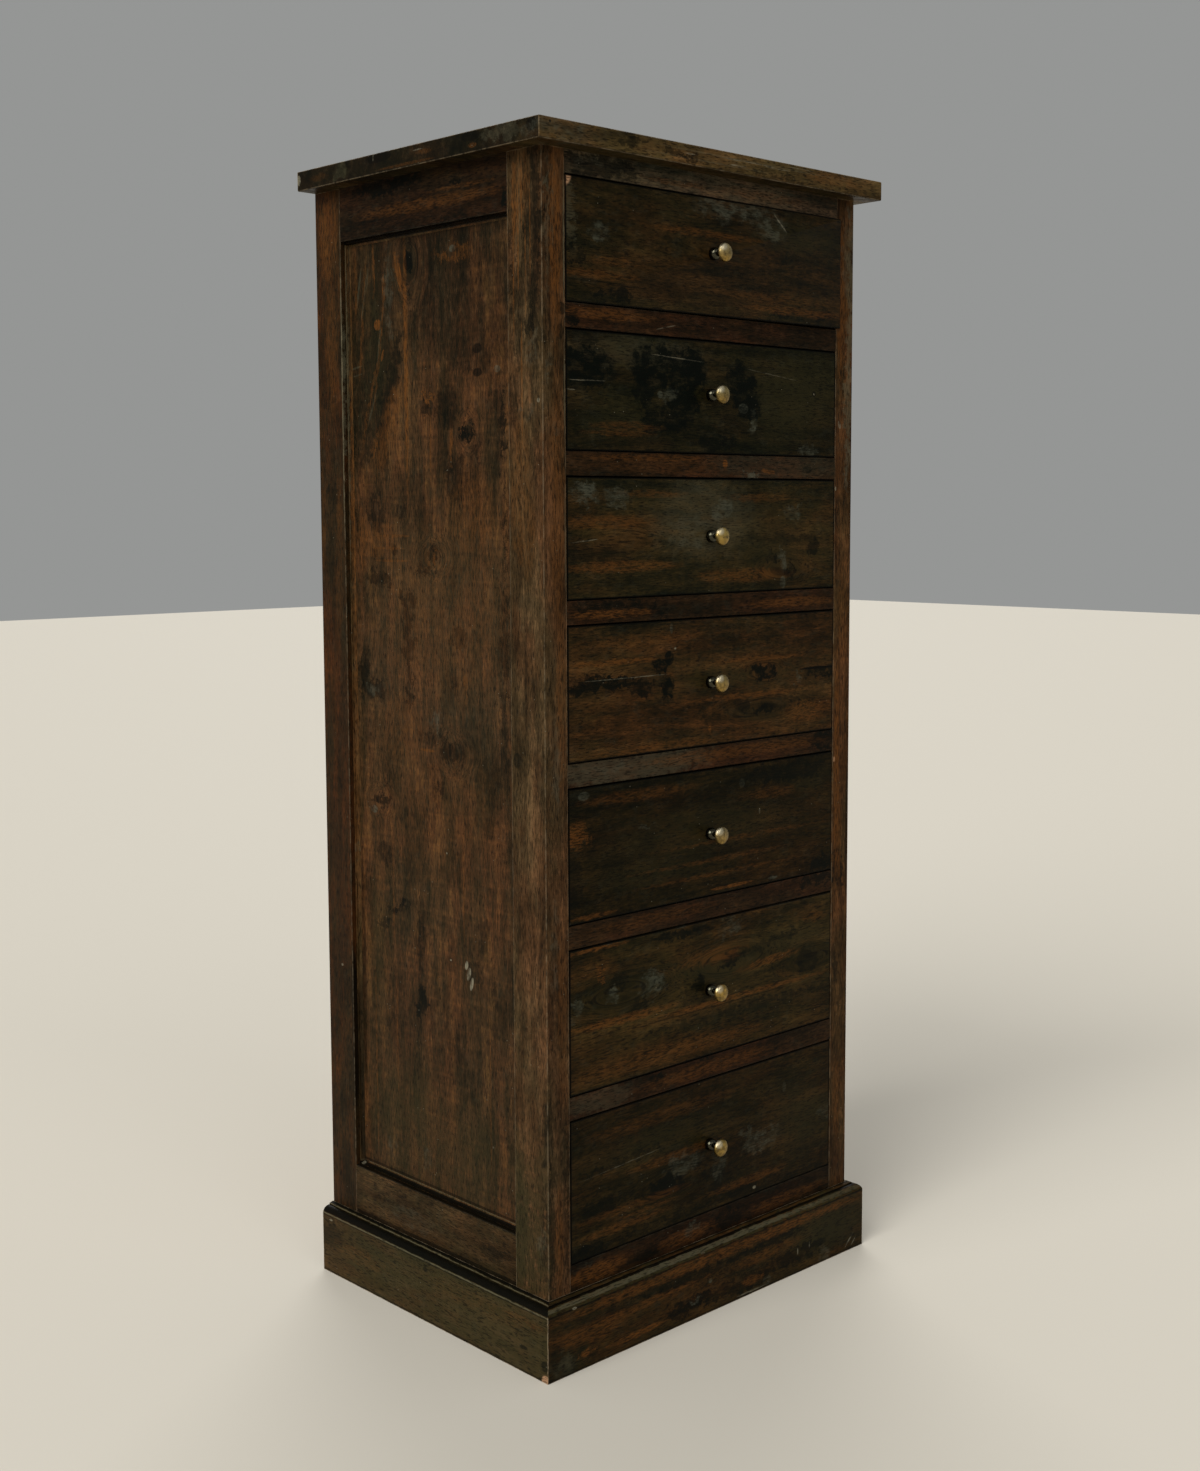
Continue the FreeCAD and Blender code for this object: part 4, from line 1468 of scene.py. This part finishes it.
            (-30, 776, 14, 12, 0.5), (-18, 700, 30, 13), (20, 715, 30, 9, 0.6), (4, 655, 10, 12, 0.7, -25),
            (122, 628, 24, 9), (116, 563, 20, 14, 0.6), (88, 497, 24, 6, 0.85, -18),
            (118, 472, 20, 5, 0.6, -14), (46, 385, 13, 26, 0.85), (48, 455, 6, 46, 0.5),
            (-92, 400, 7, 56, 0.45), (-56, 440, 14, 12, 0.5), (-74, 490, 12, 22, 0.4),
            (110, 352, 22, 8, 0.5, -20), (-116, 800, 8, 130, 0.4), (0, 1285, 160, 50, 0.5),
            (110, 1080, 16, 60, 0.6), (-60, 1225, 120, 90, 0.5), (40, 1240, 60, 60, 0.3),
            (20, 340, 150, 60, 0.2), (60, 1000, 50, 40, 0.2), (-119, 1085, 5, 50), (-119, 960, 3, 70, 0.6),
            (-118, 820, 6, 90, 0.7),
        ],
        # The long line at the bottom is painted shadow under the moulding, and the long one near the rear edge
        # painted shadow beside it; the rest are small dark spots.
        grime=[
            (52, 1279, 9, 12, 0.6), (-73, 1169, 11, 7, 0.75), (-73, 1142, 10, 6, 0.75),
            (17, 158, 800, 2, 0.6), (164, 400, 5, 200, 0.5),
        ],
        glow=[
            (110, 1190, 3, 100, 0.45, 10), (146, 1210, 3, 90, 0.45, 6), (132, 1120, 3, 70, 0.45, 18),
            (158, 1260, 3, 50, 0.45), (60, 1160, 5, 190), (73, 1266, 7, 28, 0.95, -14),
            (122, 1282, 3, 40, 0.6), (102, 1257, 3, 22, 0.9), (115, 1209, 9, 8, 0.95),
            (106, 1172, 3, 9, 0.9, 20), (96, 1085, 20, 70, 0.45, 28), (126, 1060, 3, 30, 0.6, 28),
            (15, 1118, 12, 4), (15, 1060, 2, 50, 0.6), (-24, 1062, 3, 22, 0.7), (12, 928, 22, 3, 0.6, -15),
            (122, 948, 48, 26, 0.4), (-46, 780, 6, 20, 0.5), (28, 699, 18, 2.4), (140, 300, 2, 140, 0.4),
            (96, 330, 2, 90, 0.35), (-84, 300, 1.6, 120, 0.35), (-38, 560, 2, 110, 0.35),
            (100, 520, 2, 80, 0.35), (-60, 980, 60, 60, 0.3), (80, 720, 60, 60, 0.25),
            (0, 860, 180, 130, 0.22), (20, 640, 170, 110, 0.12), (150, 950, 12, 40, 0.5),
            (20, 1120, 20, 3, 0.9), (90, 955, 40, 2.5, 0.6), (100, 940, 40, 2, 0.6), (95, 925, 44, 2, 0.6),
            (-30, 1280, 40, 8, 0.5),
        ],
        bloom=[
            (92, 1250, 8, 60, 0.45), (-108, 1144, 7, 5), (-30, 1285, 7, 5), (134, 764, 16, 9, 0.55),
            (10, 736, 14, 9, 0.6), (137, 615, 8, 6, 0.9), (110, 185, 8, 14, 0.4), (40, 190, 8, 14, 0.3),
        ],
        scratch=[
            (-42, 448, 3.6, 7, 0.95, 14), (-46, 438, 4.2, 10, 0.95, 16), (-51, 427, 3.6, 10, 0.95, 14),
            (-7, 578, 1.6, 1.6, 0.95), (-12, 449, 1.6, 1.6, 0.95), (-88, 237, 1.6, 1.6, 0.9),
        ],
    ),
    "plinth_front": on(
        Plane.FRONT,
        olive=[(205, 42, 90, 36, 0.85), (-250, 18, 44, 24), (0, 80.4, 1500, 3.2, 0.95)],
        dust=[(-258, 15, 22, 14, 0.35), (-60, 82.2, 330, 2.4, 0.55), (200, 81.6, 150, 2.4, 0.3)],
        stain=[
            (-80, 57, 62, 8, 0.7), (-10, 53, 50, 6, 0.65), (95, 56, 70, 7, 0.65), (-190, 52, 50, 5, 0.5),
            (-50, 21, 50, 10, 0.85), (40, 20, 70, 12, 0.7), (150, 26, 66, 11, 0.75),
            (-250, 20, 50, 22, 0.5), (230, 40, 50, 30, 0.2), (-120, 60, 40, 3, 0.6), (20, 40, 80, 3, 0.5),
        ],
        # The line at the foot is painted shadow where the plinth meets the floor; the other long lines darken the
        # moulding along its edges, and the small ones are dark spots.
        grime=[
            (-150, 69, 2.4, 2.4, 0.9), (0, 69, 3, 3, 0.9), (150, 70, 2.6, 2.6, 0.9),
            (0, 84.9, 1500, 1, 0.9), (0, 76.4, 900, 1.3, 0.75), (0, 87.6, 700, 0.7), (0, 1, 900, 2.4, 0.6),
        ],
        glow=[
            (0, 69, 330, 8, 0.65), (-150, 47, 150, 5, 0.5), (90, 44, 80, 8, 0.35), (-140, 14, 50, 4, 0.9),
            (-220, 18, 14, 6, 0.9), (-210, 40, 60, 14, 0.5), (60, 18, 20, 6, 0.6),
        ],
        bloom=[(-15, 40, 4, 3, 0.95), (-40, 23, 12, 3), (90, 9, 9, 7, 0.7), (205, 10, 12, 8, 0.4)],
        scratch=[
            (60, 4, 30, 1.4, 0.6), (150, 29, 0.9, 5), (173, 31, 0.9, 5, 0.7), (253, 12, 10, 1, 0.8, 45),
            (259, 17, 9, 0.8, 0.8, 45), (264, 10, 8, 0.8, 0.7, 45), (-242, 77, 4, 1.6, 0.9),
            (-28, 79, 4, 1.4, 0.7),
        ],
    ),
    "plinth_left": on(
        Plane.SIDE,
        olive=[(110, 50, 120, 24, 0.3)],
        # Both thin pale lines are painted highlights along the moulding's arris and crown.
        dust=[(0, 77.2, 1500, 0.8), (0, 85.9, 1500, 0.4, 0.85)],
        stain=[
            (-211, 20, 10, 7, 0.7), (-165, 50, 14, 3, 0.5), (-172, 30, 8, 3, 0.7), (10, 66, 5, 4, 0.6),
            (-86, 67, 5, 3, 0.6), (-190, 58, 5, 4, 0.5), (205, 50, 24, 18, 0.5),
        ],
        # The line at the foot is painted shadow where the plinth meets the floor; the others darken the moulding's
        # hollow and edges.
        grime=[
            (0, 81.7, 1500, 3.7, 0.95), (0, 87.6, 1500, 1.4, 0.95), (0, 75.4, 1500, 0.8, 0.5),
            (0, 1, 700, 2.4, 0.6),
        ],
        glow=[(150, 40, 60, 14, 0.2), (-90, 56, 120, 14, 0.12), (-170, 62, 50, 6, 0.25)],
        scratch=[(208, 71, 4, 1.6, 0.7)],
        bare=[(-211, 2, 9, 8, 0.7)],
    ),
    "top_board": on(
        Plane.FRONT,
        olive=[(120, 1388, 200, 20, 0.2)],
        dust=[(60, 1393, 200, 1.2, 0.3), (-30, 1384, 120, 1, 0.3), (-250, 1389, 60, 14, 0.12)],
        stain=[
            (-160, 1391, 16, 7, 0.6), (-88, 1389, 16, 6, 0.6), (-62, 1383, 14, 5, 0.7),
            (100, 1380, 60, 4, 0.5),
        ],
        # The long dark line along the lower edge is painted shadow under the overhang; the small spot is a nail
        # hole.
        grime=[(-275, 1395, 2, 2, 0.9), (0, 1376.5, 700, 1.6, 0.6)],
        glow=[(190, 1390, 60, 7, 0.35)],
        bloom=[(-265, 1390, 40, 14, 0.5)],
        scratch=[
            (-62, 1389, 10, 1, 0.5), (20, 1386, 16, 1, 0.6), (90, 1391, 26, 0.9, 0.5),
            (130, 1396, 30, 0.9, 0.4), (30, 1392, 60, 0.7, 0.4),
        ],
    ) + on(
        Plane.SIDE,
        olive=[(135, 1390, 18, 10, 0.9)],
        dust=[(138, 1390, 14, 10, 0.25), (-160, 1392, 36, 6, 0.4)],
        stain=[(20, 1388, 240, 20, 0.5), (200, 1388, 26, 16, 0.5)],
        # The long dark line along the lower edge is painted shadow under the overhang; the others are dark
        # patches.
        grime=[
            (0, 1376.5, 700, 1.6, 0.6), (60, 1394, 30, 6, 0.6), (-110, 1394, 20, 6, 0.6),
            (-210, 1392, 10, 8, 0.7),
        ],
        glow=[
            (-25, 1390, 16, 3, 0.3), (10, 1380, 60, 2, 0.3), (180, 1388, 20, 5, 0.2),
            (-112, 1384, 8, 3, 0.45),
        ],
        bloom=[(-200, 1386, 8, 8, 0.3)],
        scratch=[(223, 1389, 4, 7), (70, 1399, 0.9, 8, 0.9), (-15, 1393, 10, 0.8, 0.4)],
    ),
}

# The brightest tone of each knob, which the lit top half of its head is painted with, from the top drawer down.
KNOB_TONES = (
    paint(182, 162, 112), paint(168, 150, 98), paint(196, 168, 94), paint(162, 140, 88),
    paint(160, 140, 98), paint(170, 140, 76), paint(168, 140, 74),
)

# How far each board's red, green and blue stray from those of its palette; the front top rail's lift is painted
# light in the shade under the top.
STAINS_AND_PAINTED_LIGHT: dict[str, Triple] = {
    "drawer_1_front": (0.9, 0.93, 0.94),
    "drawer_2_front": (0.53, 0.7, 0.76),
    "drawer_3_front": (1.12, 1.16, 1.1),
    "drawer_4_front": (1.48, 1.24, 1.15),
    "drawer_5_front": (0.63, 0.62, 0.54),
    "drawer_6_front": (1.04, 1.05, 0.92),
    "drawer_7_front": (0.67, 0.68, 0.61),
    "drawer_dividers": (0.99, 0.94, 0.89),
    # Painted light: lifts the rail in the shade under the top.
    "front_top_rail": (2.28, 3.4, 4.7),
    "front_bottom_rail": (0.56, 0.58, 0.56),
    "front_post_left": (1.05, 1.06, 1.2),
    "front_post_right": (0.88, 0.78, 0.71),
    "rear_post_left": (0.97, 0.9, 0.88),
    "side_panel_left": (1.14, 1.08, 1.15),
    "side_top_rail_left": (0.57, 0.62, 0.66),
    "side_bottom_rail_left": (0.57, 0.64, 0.68),
    "plinth_left": (1.1, 1.03, 1.06),
    "top_board": (1.5, 1.68, 1.6),
}


def waxed(node: str, run: Run, palette: Palette, **traits: object) -> Material:
    """Finish one board with the stain and the marks that were measured for it, unless told others."""
    found = {"name": "wood_" + node, "marks": MARKS.get(node, ()), "stain": STAINS_AND_PAINTED_LIGHT.get(node, NO_STAIN)}
    return WaxedHardwood(node=node, run=run, palette=palette, **(found | traits)).material()


@dataclass
class Studio:
    """The camera, the lamps, the plain floor and the pale world."""

    eye: Triple = (-1.58112, -1.68075, 0.98520)
    aim: Triple = (1.474147, 0.003061, -0.765214)
    lens: float = 44.1786
    shift: tuple[float, float] = (-0.010838, -0.034149)
    floor_reach: float = 14.0
    softness: float = 40.0

    def camera(self) -> None:
        """Set up the camera of the photograph."""
        data = bpy.data.cameras.new("photo_camera")
        data.sensor_width = 36.0
        data.lens = self.lens
        data.shift_x, data.shift_y = self.shift
        data.clip_end = 60.0
        camera = show("photo_camera", data)
        camera.location = self.eye
        camera.rotation_euler = self.aim
        bpy.context.scene.camera = camera

    def lamp(self, name: str, way: Triple, level: float, tint: Triple) -> None:
        """Set up one large, far and soft lamp.

        Args:
            name: The lamp's name.
            way: The way from the chest to the lamp.
            level: How bright a white surface that faces the lamp gets, where one is white.
            tint: The lamp's colour.
        """
        data = bpy.data.lights.new(name, "SUN")
        data.angle = math.radians(self.softness)
        data.energy = level * math.pi
        data.color = tint
        show(name, data).rotation_euler = Vector(way).to_track_quat("Z", "Y").to_euler()

    def floor(self) -> None:
        """Lay the plain pale floor."""
        work = bmesh.new()
        bmesh.ops.create_grid(work, x_segments=1, y_segments=1, size=self.floor_reach)
        mesh = bpy.data.meshes.new("floor")
        work.to_mesh(mesh)
        work.free()
        shader = Shader("floor_plain")
        steady = {"Base Color": paint(206, 200, 188), "Roughness": 0.85, "Specular IOR Level": 0.2}
        mesh.materials.append(shader.close(steady))
        floor = show("floor", mesh)

    def world(self) -> None:
        """Light the whole scene from a pale grey world."""
        world = bpy.data.worlds.new("pale_world")
        world.use_nodes = True
        backdrop = world.node_tree.nodes["Background"]
        backdrop.inputs["Color"].default_value = (0.30, 0.305, 0.30, 1.0)
        backdrop.inputs["Strength"].default_value = 1.0
        bpy.context.scene.world = world

    def build(self) -> None:
        """Set up the whole studio."""
        bpy.context.scene.view_settings.view_transform = "Standard"
        self.camera()
        self.floor()
        self.world()
        self.lamp("window_lamp", (-1.0, -0.2, 0.75), 0.85, (1.0, 0.99, 0.96))
        self.lamp("front_lamp", (-0.15, -1.0, 0.6), 0.15, (1.0, 0.99, 0.98))
        self.lamp("back_lamp", (0.8, 0.9, 0.8), 0.40, (1.0, 0.99, 0.97))


@dataclass
class Carcass:
    """The fixed boards: posts, rails, dividers, panels, mouldings, plinth and top."""

    shop: Workshop
    corner: float = 1.3 * MM
    edge: float = 0.4 * MM
    back_board_count: int = 4

    def boards(self) -> None:
        """Make the worn copies of the plain boards."""
        posts = ((FRONT, "front", POST_WOOD, 1.3), (BACK, "rear", STILE_WOOD, 4.1))
        for way, end, wood, shift in posts:
            for side, hand in ((LEFT, "left"), (RIGHT, "right")):
                node = f"{end}_post_{hand}"
                self.board(node, (way, side), Run.UPRIGHT, wood, shift + side.x)
        for side, hand in ((LEFT, "left"), (RIGHT, "right")):
            self.board(f"side_top_rail_{hand}", (side,), Run.DEEP, RAIL_WOOD, 6.7 + side.x)
            self.board(f"side_bottom_rail_{hand}", (side,), Run.DEEP, POST_WOOD, 9.1 + side.x)
        for shift, node in enumerate(("front_top_rail", "drawer_dividers", "front_bottom_rail")):
            self.board(node, (FRONT,), Run.ACROSS, RAIL_WOOD, 11.3 + shift, self.gap_lines())

    @staticmethod
    def gap_lines() -> tuple[Mark, ...]:
        """Paint shade, with some dirt in it, on the rails along the gaps over and under the drawers.

        Returns:
            One dark line of painted shade for each gap.
        """
        boxes = [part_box(f"drawer_{number}_front") for number in range(1, DRAWER_COUNT + 1)]
        heights = [point.z / MM + off for low, high in boxes for point, off in ((low, -0.6), (high, 1.2))]
        return on(Plane.FRONT, grime=[(0, height, 900, 1.1, 0.85) for height in heights])

    def board(
        self, node: str, shown: tuple[Vector, ...], run: Run, palette: Palette, shift: float,
        extra: tuple[Mark, ...] = (),
    ) -> None:
        """Make the worn copy of one board.

        Args:
            node: The CAD node.
            shown: The ways in which its visible faces look.
            run: The way of its grain.
            palette: The tones of its wood.
            shift: Where in the grain it was cut.
            extra: Marks besides the board's own.
        """
        traits = {"depth": 14.0, "rubbed": 0.3, "contrast": 1.25} if "post" in node else {"rubbed": 0.06}
        finish = waxed(node, run, palette, marks=MARKS.get(node, ()) + extra, shift=shift, **traits)
        work = worn_copy(node, shown, self.corner, self.edge)
        self.shop.fit(work, node + "_worn", node, finish)

    def panels(self) -> None:
        """Finish the side panels and make their mouldings."""
        for side, hand in ((LEFT, "left"), (RIGHT, "right")):
            node = f"side_panel_{hand}"
            finish = waxed(
                node, Run.UPRIGHT, PANEL_WOOD, shift=14.2 + side.x, rubbed=0.0, contrast=1.25, ripple=0.3,
                cloud=0.6, play=0.5,
            )
            self.shop.finish(node, finish)
            node = f"panel_moulding_{hand}"
            finish = waxed(node, Run.UPRIGHT, POST_WOOD, shift=16.4 + side.x, rubbed=0.0)
            self.shop.fit(PanelMoulding().build(node, side), node + "_fine", node, finish)

    def plinth(self) -> None:
        """Make the moulded plinth."""
        for node, work in Plinth().build().items():
            front = node == "plinth_front"
            run, wood, cloud = (Run.ACROSS, PLINTH_WOOD, 0.3) if front else (Run.DEEP, RETURN_WOOD, 0.15)
            finish = waxed(node, run, wood, shift=len(node) * 0.9, cloud=cloud, contrast=0.85, proud=16.0)
            self.shop.fit(work, node + "_fine", node, finish)

    def build(self) -> None:
        """Make and finish every fixed board."""
        self.boards()
        self.panels()
        self.plinth()
        finish = waxed(
            "top_board", Run.ACROSS, POST_WOOD, name="wood_top", shift=13.7, rubbed=0.55, end_grain=0.82,
            proud=24.5,
        )
        self.shop.fit(TopBoard().build(), "top_board_worn", "top_board", finish)
        low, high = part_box("back_boards")
        count = self.back_board_count
        seams = tuple(low.x + (high.x - low.x) * part / count for part in range(1, count))
        hidden = {
            PlainWood("bare_deep", Run.DEEP, 1.1): ("runners_and_kickers", "drawer_guides"),
            PlainWood("bare_across", Run.ACROSS, 2.3): ("rear_rails", "drawer_stops"),
            PlainWood("bare_upright", Run.UPRIGHT, 3.9): ("glue_blocks",),
            PlainWood("bare_back", Run.UPRIGHT, 5.1, seams): ("back_boards",),
        }
        for look, nodes in hidden.items():
            material = look.material()
            for node in nodes:
                self.shop.finish(node, material)


@dataclass
class Drawer:
    """One drawer: its waxed front, its bare box and its knob."""

    shop: Workshop
    number: int
    arris: float = 0.9 * MM

    def front(self) -> None:
        """Make the worn front."""
        node = f"drawer_{self.number}_front"
        finish = waxed(
            node, Run.ACROSS, DRAWER_WOOD, name=f"wood_drawer_{self.number}", skewed=self.number == 1,
            shift=self.number * 3.17, rubbed=0.0, gap=0.92,
        )
        self.shop.fit(worn_copy(node, (FRONT,), 0.0, self.arris), node + "_worn", node, finish)

    def knob(self) -> None:
        """Make the knob, square to the drawer front that carries it."""
        node = f"drawer_{self.number}_knob"
        joint = next(joint for joint in frame["joints"] if joint["child"] == f"drawer_{self.number}")
        way = Vector(joint["axis"]).normalized()
        low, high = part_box(node)
        shape = Knob()
        behind = high.y - low.y - shape.reach
        seat = (low + high) / 2 + way * ((behind - shape.reach) / 2)
        crown = (seat.x, low.y, seat.z)
        brass = AgedBrass(f"aged_brass_{self.number}", crown, KNOB_TONES[self.number - 1])
        self.shop.fit(shape.build(seat, way), node + "_turned", node, brass.material())

    def build(self, bare: Mapping[str, Material]) -> None:
        """Make and finish the whole drawer.

        Args:
            bare: The finishes of the bare box, by the part that they are for.
        """
        self.front()
        self.knob()
        for part, material in bare.items():
            self.shop.finish(f"drawer_{self.number}_{part}", material)


def main() -> None:
    """Build the studio, the carcass and the drawers."""
    logging.basicConfig(level=logging.INFO, format="%(name)s: %(message)s")
    Studio().build()
    shop = Workshop()
    Carcass(shop).build()
    bare = {
        "sides": PlainWood("bare_drawer_sides", Run.DEEP, 5.3).material(),
        "back": PlainWood("bare_drawer_back", Run.ACROSS, 6.1).material(),
        "bottom": PlainWood("bare_drawer_bottom", Run.ACROSS, 7.7).material(),
    }
    for number in range(1, DRAWER_COUNT + 1):
        Drawer(shop, number).build(bare)


if __name__ == "__main__":
    main()
